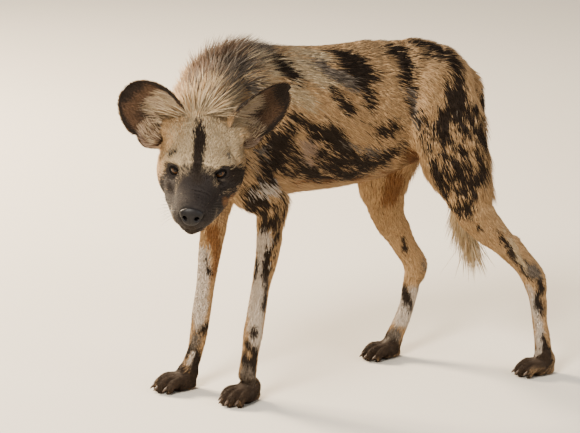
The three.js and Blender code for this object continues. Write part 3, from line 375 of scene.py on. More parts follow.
LIMB_STROKES = [
    ("neck side", "dark", [(285, 112, 4), (284, 126, 6), (278, 141, 8), (270, 151, 8), (262, 162, 8)]),
    ("chest side", "dark", [(276, 161, 8), (266, 171, 8), (258, 180, 6)]),
    ("chest rear", "dark", [(285, 150, 4), (285, 168, 3)]),
    ("neck flecks", "tan", [(254, 150, 3), (262, 155, 2)]),
    ("foreleg v", "white", [(251, 189, 4), (262, 185, 6), (270, 184, 4), (277, 177, 3)]),
    ("foreleg upper", "dark", [(258, 197, 5), (266, 206, 9), (271, 216, 9), (262, 223, 6)]),
    ("foreleg upper rear", "dark", [(282, 196, 5), (283, 210, 4)]),
    ("foreleg tan 1", "tan", [(257, 204, 3), (262, 207, 2)]),
    ("foreleg tan 2", "tan", [(270, 212, 3), (268, 200, 2)]),
    ("foreleg tan 3", "tan", [(279, 203, 2), (280, 214, 3)]),
    ("foreleg front", "white", [(265, 232, 8), (262, 250, 9), (260, 275, 9), (257, 300, 10), (256, 325, 10),
        (257, 342, 8)]),
    ("foreleg slash", "dark", [(279, 228, 3), (275, 238, 4), (269, 250, 3), (267, 264, 3), (267, 282, 2),
        (266, 297, 2), (265, 310, 1)]),
    ("foreleg slash rear", "dark", [(278, 245, 1.5), (273, 262, 1.5), (270, 271, 2)]),
    ("foreleg rear", "tan", [(275, 255, 2), (273, 266, 2), (270, 277, 2)]),
    ("foreleg front spot", "dark", [(257, 256, 1.5), (256, 265, 2), (254, 276, 2)]),
    ("wrist oval", "dark", [(254, 331, 3.5), (254, 334, 3.5)]),
    ("wrist front", "dark", [(247, 342, 3), (248, 348, 4)]),
    ("wrist side", "dark", [(256, 350, 3), (256, 353, 3)]),
    ("pastern 1", "dark", [(244, 354, 3), (246, 362, 4)]),
    ("pastern 2", "dark", [(255, 361, 3), (255, 372, 3)]),
    ("pastern", "grizzled", [(246, 374, 7), (252, 380, 7)]),
    ("left fore paw", "paw", [(230, 396, 12), (245, 394, 14), (255, 392, 10)]),
    ("far foreleg rear", "rust", [(213, 225, 7), (217, 245, 5), (217, 262, 4), (213, 277, 3)]),
    ("far foreleg front", "white", [(203, 250, 8), (201, 280, 9), (198, 310, 9), (198, 322, 7)]),
    ("far foreleg spot 1", "dark", [(206, 256, 1.5), (208, 260, 1)]),
    ("far foreleg spot 2", "dark", [(208, 268, 1.5), (211, 272, 1)]),
    ("far wrist", "dark", [(203, 329, 4), (208, 326, 3)]),
    ("far wrist low", "grizzled", [(197, 338, 5), (193, 346, 4)]),
    ("far pastern", "dark", [(189, 345, 2), (186, 354, 3)]),
    ("far pastern rear", "dark", [(198, 352, 4), (196, 368, 5)]),
    ("far pastern streak", "white", [(193, 353, 2), (188, 363, 2)]),
    ("far fore paw", "paw", [(165, 385, 10), (180, 382, 12), (192, 380, 9)]),
    # The far thigh is painted rust: partly its own rusty tan, partly painted shade on the far leg.
    ("far thigh rust and shade", "rust", [(405, 155, 10), (398, 172, 12), (392, 190, 12)]),
    ("far shin line", "dark", [(402, 236, 1.5), (405, 249, 2)]),
    ("far hock line", "dark", [(402, 273, 2), (404, 286, 2.5), (405, 299, 3), (410, 306, 3)]),
    ("far shank", "white", [(403, 310, 4), (399, 320, 6), (406, 320, 4)]),
    ("far shank low", "grizzled", [(396, 333, 6), (391, 341, 6)]),
    ("far hind paw", "paw", [(368, 352, 9), (382, 350, 10), (394, 349, 9)]),
    ("shin spot", "dark", [(477, 222, 1.5), (478, 225, 1)]),
    ("shin streak", "dark", [(498, 231, 2), (506, 244, 3), (513, 255, 3), (523, 266, 4), (530, 273, 4)]),
    ("shin pale line", "cream", [(502, 227, 1.5), (513, 246, 1.5), (521, 262, 1.5), (528, 272, 1.5)]),
    ("hock", "grizzled", [(533, 269, 5), (539, 273, 4)]),
    ("hock rear", "dark", [(540, 281, 3), (541, 289, 2)]),
    ("shank", "white", [(531, 290, 4), (535, 305, 6), (538, 325, 6), (539, 342, 6)]),
    ("shank rear", "dark", [(537, 293, 2), (540, 305, 3), (542, 312, 3)]),
    ("shank low rear", "dark", [(543, 335, 1.5), (546, 342, 2)]),
    ("near paw heel", "dark", [(547, 350, 4), (548, 360, 4)]),
    ("near hind paw", "paw", [(527, 366, 8), (536, 360, 8), (543, 358, 8)]),
    ("near paw fleck", "white", [(534, 352, 2.5), (537, 350, 2)]),
    ("nape patch", "cream", [(197, 106, 6), (207, 111, 6), (222, 112, 5)]),
]
MANE = [
    ("mane grey", "grizzled", [(275, 55, 625, 11), (290, 115, 605, 9), (305, 145, 595, 6)]),
    ("neck grey", "grizzled", [(230, 80, 605, 11), (210, 75, 600, 8)]),
    ("neck cream", "cream", [(275, 115, 600, 9), (285, 195, 605, 9)]),
]
HEAD_STROKES = [
    ("brow stripe", "dark", [(200, 121, 2.5), (199, 130, 4), (199, 145, 5), (198, 158, 4.5),
        (197, 170, 3.5), (196, 178, 5)]),
    ("eye patch right", "face", [(173, 170, 7), (170, 178, 5), (172, 186, 6)]),
    ("eye patch left", "face", [(222, 174, 7), (225, 183, 5)]),
    ("muzzle side left", "face", [(215, 195, 8), (213, 208, 8)]),
    ("muzzle side right", "face", [(173, 196, 6), (173, 206, 6)]),
    ("jaw side", "rust", [(226, 203, 5), (232, 198, 4)]),
    ("brow fleck", "dark", [(170, 157, 2), (174, 154, 2)]),
    ("speck a", "tan", [(352, 150, 2.5), (360, 146, 2.5)]),
    ("speck b", "tan", [(316, 158, 2.5), (330, 160, 2)]),
    ("speck c", "tan", [(340, 132, 2), (346, 138, 2.5)]),
    ("speck d", "rust", [(335, 168, 2.5), (345, 172, 2.5)]),
    ("speck e", "tan", [(365, 158, 2.5), (374, 150, 2.5)]),
    ("speck f", "tan", [(300, 150, 2)]),
    ("speck g", "rust", [(358, 170, 2), (366, 168, 2)]),
    ("thigh bits", "tan", [(452, 122, 3.5), (456, 132, 3.5)]),
    ("thigh bits 2", "tan", [(468, 122, 3), (476, 130, 3)]),
    ("thigh bits 3", "tan", [(469, 146, 3.5), (474, 158, 2.5)]),
    ("thigh bits 4", "tan", [(447, 160, 2.5), (451, 150, 2.5)]),
    ("thigh bits 5", "tan", [(458, 176, 2)]),
    ("breeches", "cream", [(489, 132, 3), (492, 150, 3), (490, 166, 3)]),
]
corners = []
sides = []
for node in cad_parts.values():
    first = len(corners)
    corners += [tuple(vertex.co) for vertex in node.data.vertices]
    sides += [[first + number for number in side.vertices] for side in node.data.polygons]
solids = BVHTree.FromPolygons(corners, sides)
camera_turn = camera.rotation_euler.to_matrix()


def laid_on_dog(strokes, depth=0.0):
    """Strokes in the picture's pixels, as places `depth` under the solids and half widths, in millimetres."""
    under = Vector((0, 0, depth / 1000))
    laid = []
    for name, kind, pixels in strokes:
        stroke = []
        for x, y, half in pixels:
            way = camera_turn @ Vector((x - PICTURE_WIDTH / 2, PICTURE_HEIGHT / 2 - y, -PICTURE_FOCAL))
            spot, normal, number, distance = solids.ray_cast(CAMERA_PLACE + under, way.normalized())
            if spot:
                ahead, left, up = written_in(BODY, np.array(spot - under)).round().tolist()
                stroke.append((ahead, left, up, round(half * distance * 2000 / PICTURE_FOCAL) / 2))
        laid.append((name, kind, stroke))
    return laid


BACK_COAT = 8.0
trunk_marks = laid_on_dog(TRUNK_STROKES) + laid_on_dog(BACK_STROKES, BACK_COAT) + laid_on_dog(SIDE_STROKES)
MARKINGS = trunk_marks + laid_on_dog(LIMB_STROKES) + MANE + laid_on_dog(HEAD_STROKES)
SPINE_CLEAR = 16.0


def on_far_side(ahead, left, up, half):
    """The like place on the far side, shifted so that the two sides don't match."""
    behind = up < 470 and ahead < -150
    shifted = ahead + 18 * math.sin(up / 55) + (46 if behind else -12)
    return shifted, -left, up + 9 * math.cos(ahead / 60), half


FAR_SIDE = [(name, kind, [on_far_side(*place) for place in stroke]) for name, kind, stroke in trunk_marks
            if min(place[1] for place in stroke) > SPINE_CLEAR]
FACE = [
    ("muzzle", "face", [(26, 0, -22, 45), (60, 0, -36, 45), (96, 0, -44, 45)]),
    ("bridge", "face", [(14, 0, 2, 17), (0, 0, 22, 10)]),
    ("nose bed", "leather", [(100, -11, -34, 14), (100, 11, -34, 14)]),
    ("bare lip", "dark", [(104, 0, -66, 13), (92, 0, -70, 14)]),
]
for side in (1, -1):
    FACE += [
        ("under the eye", "face",
         [(14, side * 40, -20, 17), (-2, side * 52, -24, 15), (-20, side * 60, -32, 9)]),
        ("cheek whorl", "face",
         [(-8, side * 54, -42, 15), (20, side * 46, -50, 20), (40, side * 40, -56, 18)]),
        ("eye patch", "dark", [(6, side * 35, -3, 17), (-1, side * 45, -3, 14.5)]),
        ("tear line", "dark", [(10, side * 30, -6, 9), (22, side * 26, -12, 7)]),
        ("brow", "grizzled", [(-8, side * 34, 17, 8), (-16, side * 44, 20, 7)]),
    ]
HAIR = {
    "tan": ((0.69, 0.48, 0.28), (0.4, 0.25, 0.13)),
    "cream": ((0.72, 0.59, 0.41), (0.5, 0.36, 0.215)),
    "white": ((0.74, 0.66, 0.57), (0.56, 0.47, 0.385)),
    "pink": ((0.5, 0.37, 0.28), (0.31, 0.21, 0.14)),
    "rust": ((0.42, 0.22, 0.1), (0.2, 0.095, 0.042)),
    "grizzled": ((0.36, 0.3, 0.24), (0.035, 0.028, 0.024)),
    "dark": ((0.045, 0.032, 0.024), (0.016, 0.011, 0.008)),
    "face": ((0.07, 0.058, 0.054), (0.011, 0.009, 0.008)),
    "ear": ((0.23, 0.135, 0.08), (0.065, 0.036, 0.02)),
    "leather": ((0.006, 0.005, 0.005), (0.004, 0.003, 0.003)),
    "paw": ((0.085, 0.055, 0.035), (0.022, 0.015, 0.011)),
}
FACE_NAMES = {name for name, kind, stroke in FACE}
BLOTCH_GROWTH = 1.15
GROUND_HALF_WIDTH = 30
UNREACHED = 1e3
KINDS = list(HAIR)
dice = np.random.default_rng(11)
RIPPLES = dice.normal(size=(20, 3))
PHASES = dice.uniform(0, 6.28, 20)


def ripple(p, size):
    """Smooth unevenness, about -1 to 1, over lengths of about `size` millimetres."""
    return np.sin(p @ RIPPLES.T * (2.4 / size) + PHASES).sum(1) / 4.5


def stroke_distance(p, stroke):
    """How far points are outside one brush stroke."""
    least = np.full(len(p), UNREACHED)
    for one, two in zip(stroke, stroke[1:] or stroke):
        start = np.array(one[:3], float)
        run = np.array(two[:3], float) - start
        t = np.clip((p - start) @ run / max(run @ run, 1e-9), 0, 1)
        gap = np.linalg.norm(p - start - t[:, None] * run, axis=1) - (one[3] + (two[3] - one[3]) * t)
        least = np.minimum(least, gap)
    return least


def kinds_at(places):
    """The share of each kind of hair at some places on the model."""
    body = written_in(BODY, places)
    face = written_in(HEAD, places)
    shares = np.zeros((len(places), len(KINDS)))
    shares[:, KINDS.index("tan")] = 1
    uneven = ripple(body, 16) * 2.6 + ripple(body[:, ::-1], 6) * 1.3
    for name, kind, stroke in GROUNDS + FAR_SIDE + FACE + MARKINGS:
        points = np.array(stroke)
        if kind in ("dark", "grizzled") and stroke[0][3] < GROUND_HALF_WIDTH and name not in FACE_NAMES:
            points[:, 3] = points[:, 3] * BLOTCH_GROWTH + 1.5
        p = face if name in FACE_NAMES else body
        reach = points[:, 3].max() + 14
        near = np.all((p > points[:, :3].min(0) - reach) & (p < points[:, :3].max(0) + reach), axis=1)
        near = np.nonzero(near)[0]
        if not len(near):
            continue
        soft = 4.0 if points[:, 3].max() < 8 else 8.0
        soft = 22.0 if points[:, 3].max() > 24 else soft
        share = np.clip(0.5 - (stroke_distance(p[near], points.tolist()) + uneven[near]) / soft, 0, 1)
        shares[near] *= 1 - share[:, None]
        shares[near, KINDS.index(kind)] += share
    flank = np.clip((550 - body[:, 2]) / 50, 0, 1) * np.clip((body[:, 2] - 290) / 60, 0, 1)
    flank *= (body[:, 0] < 215) & (body[:, 0] > -300)
    flecks = np.clip((ripple(body * (0.7, 1, 1.3), 11) - 0.62) * 3.2, 0, 0.9) * flank
    bright = shares[:, KINDS.index("dark")] * flecks
    shares[:, KINDS.index("dark")] -= bright
    shares[:, KINDS.index("tan")] += bright
    return shares


# Skin. One closed skin drawn over all the flesh, finer on the face and paws. It carries the markings of the coat, so
# that the colour under the tufts is the colour of the tufts.
SKIN_STEP = 0.005
SLOPE_STEP = 0.0004
LEAST_SLOPE = 0.3
MOST_MOVED = 0.003
FLOOR_GAP = 0.0004


def slope_of(field, p, value, step):
    """The outward slope of a field at some points, from its values there."""
    return np.stack([field(p + step * np.eye(3)[k]) - value for k in range(3)], axis=1) / step


def drawn_on(p):
    """The points moved along the slope of the flesh on to its surface."""
    value = flesh_at(p)
    slope = slope_of(flesh_at, p, value, SLOPE_STEP)
    share = -value / np.maximum((slope * slope).sum(1), LEAST_SLOPE)
    return p + np.clip(share, -MOST_MOVED, MOST_MOVED)[:, None] * slope


def net_of(field, low, high, step):
    """A closed net of quads over a field's surface inside a box."""
    size = np.ceil((high - low) / step).astype(int) + 1
    rough = 4
    coarse_size = size // rough + 2
    coarse = np.stack(np.meshgrid(*[np.arange(n) for n in coarse_size], indexing="ij"), -1).reshape(-1, 3)
    coarse_value = field(low + coarse * step * rough).reshape(coarse_size)
    cell = np.stack(np.meshgrid(*[np.arange(n) for n in size], indexing="ij"), -1).reshape(-1, 3)
    value = coarse_value[tuple(np.round(cell / rough).astype(int).T)]
    band = np.abs(value) < step * rough * 1.8
    value[band] = field(low + cell[band] * step)
    value = value.reshape(size)
    inside = value < 0
    corners = np.array([[c & 1, c >> 1 & 1, c >> 2 & 1] for c in range(8)])
    views = [value[x:size[0] - 1 + x, y:size[1] - 1 + y, z:size[2] - 1 + z] for x, y, z in corners]
    count = sum((v < 0).astype(np.int8) for v in views)
    cells = np.argwhere((count > 0) & (count < 8))
    held = np.stack([v[tuple(cells.T)] for v in views], 1)
    total = np.zeros((len(cells), 3))
    crossings = np.zeros(len(cells))
    for a in range(8):
        for axis in range(3):
            b = a | 1 << axis
            if b == a:
                continue
            cross = (held[:, a] < 0) != (held[:, b] < 0)
            t = held[:, a] / np.where(cross, held[:, a] - held[:, b], 1)
            spot = corners[a] + np.eye(3)[axis] * t[:, None]
            total += np.where(cross[:, None], spot, 0)
            crossings += cross
    points = low + (cells + total / crossings[:, None]) * step
    number = np.full(size, -1)
    number[tuple(cells.T)] = np.arange(len(cells))
    quads = []
    for axis in range(3):
        u, v = np.eye(3, dtype=int)[(axis + 1) % 3], np.eye(3, dtype=int)[(axis + 2) % 3]
        far = [slice(None)] * 3
        near = [slice(None)] * 3
        far[axis] = slice(1, None)
        near[axis] = slice(None, -1)
        leaves = ~inside[tuple(far)] & inside[tuple(near)]
        enters = inside[tuple(far)] & ~inside[tuple(near)]
        for flip, change in ((False, leaves), (True, enters)):
            at = np.argwhere(change)
            around = ((1, 1), (0, 1), (0, 0), (1, 0))
            ring = np.stack([number[tuple((at - a * u - b * v).T)] for a, b in around], 1)
            quads.append(ring[:, ::-1] if flip else ring)
    return points, np.concatenate(quads)


def relaxed(points, edges, share):
    """The points slid towards their neighbours' mean and drawn back on to the surface."""
    total = np.zeros_like(points)
    for a, b in ((0, 1), (1, 0)):
        for k in range(3):
            total[:, k] += np.bincount(edges[:, a], points[edges[:, b], k], len(points))
    degree = np.bincount(edges.ravel(), minlength=len(points))[:, None]
    return drawn_on(points + share * (total / np.maximum(degree, 1) - points))


def mesh_arrays(bm):
    """Places and edges of an edit mesh, as arrays."""
    points = np.array([v.co for v in bm.verts], float)
    return points, np.array([[v.index for v in e.verts] for e in bm.edges], int)


points, quads = net_of(flesh_at, np.array(cad_low) - 0.02, np.array(cad_high) + 0.02, SKIN_STEP)
skin_mesh = bpy.data.meshes.new("skin")
skin_mesh.from_pydata(points.tolist(), [], quads.tolist())
bm = bmesh.new()
bm.from_mesh(skin_mesh)
points, edges = mesh_arrays(bm)
for _ in range(2):
    points = relaxed(points, edges, 0.5)
head_inverse = np.linalg.inv(HEAD)
paw_places = [paw[:3, 3] for paw in PAWS.values()]


def wants_finer(p, level):
    """Where the skin is drawn finer: the face and paws first, then round the eyes, nose and lips."""
    face = p @ head_inverse[:3, :3].T + head_inverse[:3, 3]
    if level == 0:
        fine = (face[:, 0] > -75) & (face[:, 0] < 130)
        fine &= (np.abs(face[:, 1]) < 90) & (np.abs(face[:, 2]) < 110)
        for place in paw_places:
            fine |= (np.abs(p[:, :2] - place[:2]).max(1) < 0.075) & (p[:, 2] < 0.05)
        return fine
    fine = (face[:, 0] > 50) & (face[:, 0] < 130) & (np.abs(face[:, 1]) < 60)
    for side in (1, -1):
        lid = (EYE_SEAT[0] + 8, side * EYE_SEAT[1], EYE_SEAT[2])
        fine |= np.linalg.norm(face - lid, axis=1) < 22
    return fine


for level in range(2):
    fine = wants_finer(points, level)
    for vertex, place in zip(bm.verts, points):
        vertex.co = place
    bm.edges.ensure_lookup_table()
    chosen = [bm.edges[i] for i in np.nonzero(fine[edges].all(1))[0]]
    bmesh.ops.subdivide_edges(bm, edges=chosen, cuts=1, use_grid_fill=True)
    bm.verts.index_update()
    points, edges = mesh_arrays(bm)
    for _ in range(2):
        points = relaxed(points, edges, 0.3)
points[:, 2] = np.maximum(points[:, 2], FLOOR_GAP)
for vertex, place in zip(bm.verts, points):
    vertex.co = place
bmesh.ops.triangulate(bm, faces=bm.faces[:])
bm.to_mesh(skin_mesh)
bm.free()
for polygon in skin_mesh.polygons:
    polygon.use_smooth = True
skin_marks = kinds_at(points)
hair_colours = np.array([HAIR[kind] for kind in KINDS])
skin_colour = skin_marks @ (0.45 * hair_colours[:, 0] + 0.55 * hair_colours[:, 1])


def painted(mesh, colours):
    """Gives each point of a mesh a colour."""
    paint = mesh.color_attributes.new("coat", "FLOAT_COLOR", "POINT")
    rows = np.column_stack([np.asarray(colours, float)[:, :3], np.ones(len(colours))])
    paint.data.foreach_set("color", rows.astype(np.float32).ravel())


def piece_of(name, mesh, material, slot, *nodes):
    """Sets a mesh in the scene as one piece, riding on the dog, in place of any nodes named."""
    mesh.materials.append(material)
    piece = bpy.data.objects.new(name, mesh)
    bpy.context.scene.collection.objects.link(piece)
    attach(piece, "root")
    if nodes:
        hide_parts(*nodes)


class Value:
    """A socket's number, with arithmetic that adds Math nodes."""

    def __init__(self, finish, socket):
        self.finish = finish
        self.socket = socket

    def maths(self, operation, first, second):
        return self.finish.node("Math", {"operation": operation}, {0: first, 1: second})

    def __add__(self, other):
        return self.maths("ADD", self, other)

    def __radd__(self, other):
        return self.maths("ADD", other, self)

    def __sub__(self, other):
        return self.maths("SUBTRACT", self, other)

    def __rsub__(self, other):
        return self.maths("SUBTRACT", other, self)

    def __mul__(self, other):
        return self.maths("MULTIPLY", self, other)

    def __rmul__(self, other):
        return self.maths("MULTIPLY", other, self)


class Finish:
    """One material: its nodes are added by type, and its shader's sockets are set or fed by name."""

    def __init__(self, name, **constants):
        self.material = bpy.data.materials.new(name)
        self.material.use_nodes = True
        self.nodes = self.material.node_tree.nodes
        self.links = self.material.node_tree.links
        self.shader = self.nodes["Principled BSDF"]
        for socket, constant in constants.items():
            self.shader.inputs[socket.replace("_", " ")].default_value = constant

    def node(self, kind, settings=None, sockets=None, output=0):
        made = self.nodes.new("ShaderNode" + kind)
        for setting, value in (settings or {}).items():
            setattr(made, setting, value)
        for socket, value in (sockets or {}).items():
            if isinstance(value, Value):
                self.links.new(value.socket, made.inputs[socket])
            else:
                made.inputs[socket].default_value = value
        return Value(self, made.outputs[output])

    def noise(self, scale, detail, stretch=(1, 1, 1)):
        place = self.node("TexCoord", output="Object")
        place = self.node("VectorMath", {"operation": "MULTIPLY"}, {0: place, 1: stretch})
        return self.node("TexNoise", None, {"Vector": place, "Scale": scale, "Detail": detail})

    def mixed(self, share, one, two):
        return self.node("Mix", {"data_type": "RGBA"}, {0: share, 6: one, 7: two}, output=2)

    def feed(self, socket, value):
        self.links.new(value.socket, self.shader.inputs[socket])

    def bump(self, height, depth, distance=0.001):
        lift = self.node("Bump", None, {"Strength": depth, "Distance": distance, "Height": height})
        self.feed("Normal", lift)


hide = Finish("short_coat", Roughness=0.75, Specular_IOR_Level=0.3)
ground = hide.node("Attribute", {"attribute_name": "coat"}, output="Color")
hide.feed("Base Color", hide.mixed(hide.noise(420, 4) * 0.4, ground, (0.03, 0.02, 0.014, 1)))
hide.bump(hide.noise(900, 2), 0.5)
painted(skin_mesh, skin_colour)
piece_of("skin", skin_mesh, hide.material, "tan_coat", "torso", "neck", "head", "tail", *LEGS)

# Lie of the coat. Hair runs back from the nose over the head, neck and trunk and down each leg and the tail, and
# sinks towards the ground on the flanks. Each point of the skin takes the run of the flesh nearest to it.
PARTS = ("trunk", "neck", "head", "tail") + tuple(LEGS)
SINKS = {"trunk": 0.85, "neck": 0.6, "head": 0.25, "tail": 0.3}
LIE_REACH = 0.009


def mesh_normals(mesh):
    """The normal at each point of a mesh."""
    normals = np.zeros(len(mesh.vertices) * 3, np.float32)
    mesh.vertex_normals.foreach_get("vector", normals)
    return normals.reshape(-1, 3).astype(float)


def lie_at(p, normals):
    """The way the hair lies at points of the skin, and the part of the dog that each is on."""
    least = np.full((len(p), len(PARTS)), FAR)
    ways = np.zeros((len(p), 3))
    total = np.zeros(len(p))
    for shape in masses:
        if shape["carve"]:
            continue
        near = np.nonzero(np.all((p > shape["low"] - 0.01) & (p < shape["high"] + 0.01), axis=1))[0]
        if not len(near):
            continue
        distance, share = mass_distance(shape, p[near])
        number = PARTS.index(shape["part"])
        least[near, number] = np.minimum(least[near, number], distance)
        runs = np.array([piece[1] / max(np.linalg.norm(piece[1]), 1e-9) for piece in shape["pieces"]])
        which = np.minimum((share * len(runs)).astype(int), len(runs) - 1)
        weight = np.exp(-np.maximum(distance, 0) / LIE_REACH)
        ways[near] += weight[:, None] * runs[which] * shape["lie"]
        total[near] += weight
    ways /= np.maximum(total, 1e-9)[:, None]
    part = least.argmin(1)
    face = written_in(HEAD, p)
    away = p - placed(HEAD, [(112, 0, -40)])[0]
    away /= np.linalg.norm(away, axis=1)[:, None]
    on_head = np.clip((face[:, 0] + 110) / 60, 0, 1) * (part == PARTS.index("head"))
    ways = ways * (1 - on_head[:, None]) + away * on_head[:, None]
    sink = np.array([SINKS.get(name, 0.2) for name in PARTS])[part] * (1 - np.abs(normals[:, 2]))
    ways[:, 2] -= sink
    ways -= (ways * normals).sum(1)[:, None] * normals
    return ways / np.maximum(np.linalg.norm(ways, axis=1), 1e-6)[:, None], part, face


skin_normals = mesh_normals(skin_mesh)
skin_lie, skin_part, skin_face = lie_at(points, skin_normals)

# Coat. Hair in flat tufts rooted in the skin: long and bristling on the crest of the neck, long and pale at the
# tail's end, hanging behind the thighs, close on the trunk, and shortest on the face, legs and paws.
TUFT_PATCH = 0.003
TUFT_BEND = 0.35
TUFT_ROOT = 0.0012
LONG_TUFT = 0.0135
LEG_HALVES = 250


def coat_plan(p, part, face, normals):
    """Length and width in millimetres, rise, and tufts for each square centimetre, at points of the skin."""
    body = written_in(BODY, p)
    ahead, left, up = body.T
    plan = {
        "trunk": (30, 2.0, 0.19, 16.5), "neck": (36, 1.5, 0.3, 19), "head": (12, 1.25, 0.24, 30),
        "tail": (26, 1.8, 0.26, 15), "leg": (11, 1.5, 0.17, 21),
    }
    table = np.array([plan[name if name in plan else "leg"] for name in PARTS])[part]
    length, width, rise, many = table.T.copy()
    leg = part >= PARTS.index("leg_front_left")
    upper = np.clip((up - 250) / 130, 0, 1) * leg
    length = length * (1 - upper) + 25 * upper
    width = width * (1 - upper) + 1.9 * upper
    many = many * (1 - upper) + 15 * upper
    low = np.clip((70 - up) / 40, 0, 1) * leg
    length = length * (1 - low) + 7 * low
    width = width * (1 - low) + 1.3 * low
    many = many * (1 - low) + 26 * low
    crest = np.clip(normals[:, 2] * 1.3 - 0.1, 0, 1) * np.clip((ahead - 120) / 110, 0, 1) * (part <= 1)
    length += 30 * crest
    rise += 0.42 * crest
    nape = (part == 2) * np.clip((-64 - face[:, 0]) / 20, 0, 1) * np.clip((face[:, 2] - 10) / 30, 0, 1)
    length += 16 * nape
    rise += 0.14 * nape
    muzzle = (part == 2) * np.clip((face[:, 0] - 12) / 30, 0, 1)
    length = length * (1 - muzzle) + 4.2 * muzzle
    width = width * (1 - muzzle) + 0.85 * muzzle
    many = many * (1 - muzzle) + 42 * muzzle
    rise = rise * (1 - muzzle) + 0.16 * muzzle
    brow = (part == 2) * np.clip((face[:, 0] + 45) / 30, 0, 1) * (1 - muzzle)
    length = length * (1 - brow) + 7.5 * brow
    width = width * (1 - brow) + 1.05 * brow
    many = many * (1 - brow) + 36 * brow
    ruff = (part == 2) * np.clip((-30 - face[:, 0]) / 30, 0, 1) * np.clip((18 - face[:, 2]) / 30, 0, 1)
    length += 20 * ruff
    rise += 0.22 * ruff
    brush = (part == PARTS.index("tail")) * np.clip((470 - up) / 110, 0, 1)
    length += 74 * brush
    width += 0.9 * brush
    rise -= 0.08 * brush
    many += 4 * brush
    behind = np.clip((-0.25 - (normals @ turned(BODY, (1, 0, 0)))) * 1.6, 0, 1) * (ahead < -170)
    behind *= np.clip((up - 330) / 60, 0, 1) * np.clip((560 - up) / 60, 0, 1) * (part != PARTS.index("tail"))
    length += 24 * behind
    rise += 0.22 * behind
    under = np.clip(-normals[:, 2] * 1.4 - 0.3, 0, 1) * (part == 0)
    length += 4 * under
    rise += 0.08 * under
    return length * 0.001, width * 0.001, rise, many * 1e4


def unwrapped(p, part, face):
    """Where a root lies on an unwrap of the skin: round and along its own part, from 0 to 1."""
    body = written_in(BODY, p)
    turn = np.zeros(len(p))
    along = np.zeros(len(p))
    for number, name in enumerate(PARTS):
        on = part == number
        if name == "trunk":
            turn[on] = np.arctan2(body[on, 1], body[on, 2] - 510)
            along[on] = (body[on, 0] + 340) / 700
        elif name == "neck":
            turn[on] = np.arctan2(body[on, 1] - 60, body[on, 2] - 545)
            along[on] = (body[on, 0] - 120) / 260
        elif name == "head":
            turn[on] = np.arctan2(face[on, 1], face[on, 2] + 25)
            along[on] = (face[on, 0] + 150) / 270
        else:
            axis = np.array(TAIL if name == "tail" else LEGS[name], float)[:, :3]
            order = np.argsort(axis[:, 2])
            middle = [np.interp(body[on, 2], axis[order, 2], axis[order, k]) for k in (0, 1)]
            turn[on] = np.arctan2(body[on, 1] - middle[1], body[on, 0] - middle[0])
            along[on] = body[on, 2] / 640
    return np.column_stack([turn / (2 * math.pi) + 0.5, np.clip(along, 0.01, 0.99)])


def tufts(name, root, normal, lie, size, kinds, unwrap, slot):
    """One piece of coat: a flat, tapering, bending tuft at each root, with three sides and a closed root."""
    length, width, rise = (np.asarray(v)[:, None] for v in size)
    count = len(root)
    rings = 2 if np.median(length) > LONG_TUFT else 1
    side = np.cross(normal, lie)
    levels = [(0.0, 1.0), (0.5, 0.8)][:rings]
    corners = []
    for share, taper in levels:
        out = length * (rise * share - TUFT_BEND * rise * share * share)
        if share == 0:
            out -= np.minimum(length * 0.07, TUFT_ROOT)
        middle = root + lie * length * share + normal * out
        half = width * taper / 2
        corners += [middle - side * half, middle + side * half, middle + normal * half * 0.55]
    corners.append(root + lie * length + normal * length * rise * (1 - TUFT_BEND))
    each = len(corners)
    places = np.stack(corners, 1).reshape(-1, 3)
    places[:, 2] = np.maximum(places[:, 2], FLOOR_GAP)
    pattern = [(0, 2, 1)]
    for ring in range(rings - 1):
        a = ring * 3
        for j in range(3):
            k = (j + 1) % 3
            pattern += [(a + j, a + k, a + k + 3), (a + j, a + k + 3, a + j + 3)]
    last = (rings - 1) * 3
    pattern += [(last + j, last + (j + 1) % 3, each - 1) for j in range(3)]
    faces = (np.array(pattern)[None] + each * np.arange(count)[:, None, None]).reshape(-1, 3)
    mesh = bpy.data.meshes.new(name)
    mesh.vertices.add(len(places))
    mesh.vertices.foreach_set("co", places.astype(np.float32).ravel())
    mesh.loops.add(faces.size)
    mesh.loops.foreach_set("vertex_index", faces.astype(np.int32).ravel())
    mesh.polygons.add(len(faces))
    mesh.polygons.foreach_set("loop_start", np.arange(0, faces.size, 3, dtype=np.int32))
    mesh.polygons.foreach_set("use_smooth", np.ones(len(faces), bool))
    mesh.update(calc_edges=True)
    chance = dice.uniform(size=(count, 1))
    kind = (kinds.cumsum(1) < chance).sum(1).clip(0, len(KINDS) - 1)
    tone = np.clip(dice.beta(1.6, 1.6, count), 0, 1)[:, None]
    colour = hair_colours[kind, 0] * tone + hair_colours[kind, 1] * (1 - tone)
    colour = colour * dice.uniform(0.86, 1.12, (count, 1))
    # Each tuft is painted darker at its root and lighter at its tip: painted shade down among the hairs and painted
    # light on their tips.
    shade = np.repeat([0.74, 1.0], 3)[:3 * rings].tolist() + [1.14]
    root_shade_tip_light = colour[:, None, :] * np.array(shade)[None, :, None]
    painted(mesh, root_shade_tip_light.reshape(-1, 3))
    spread = np.array([(j % 3 - 1, j // 3 - 1) for j in range(each)]) * TUFT_PATCH / 2
    spots = (unwrap[:, None, :] + spread[None]).reshape(-1, 2)
    baked = mesh.uv_layers.new(name="OFBake")
    baked.data.foreach_set("uv", spots[faces.ravel()].astype(np.float32).ravel())
    piece_of(name, mesh, fur.material, slot)


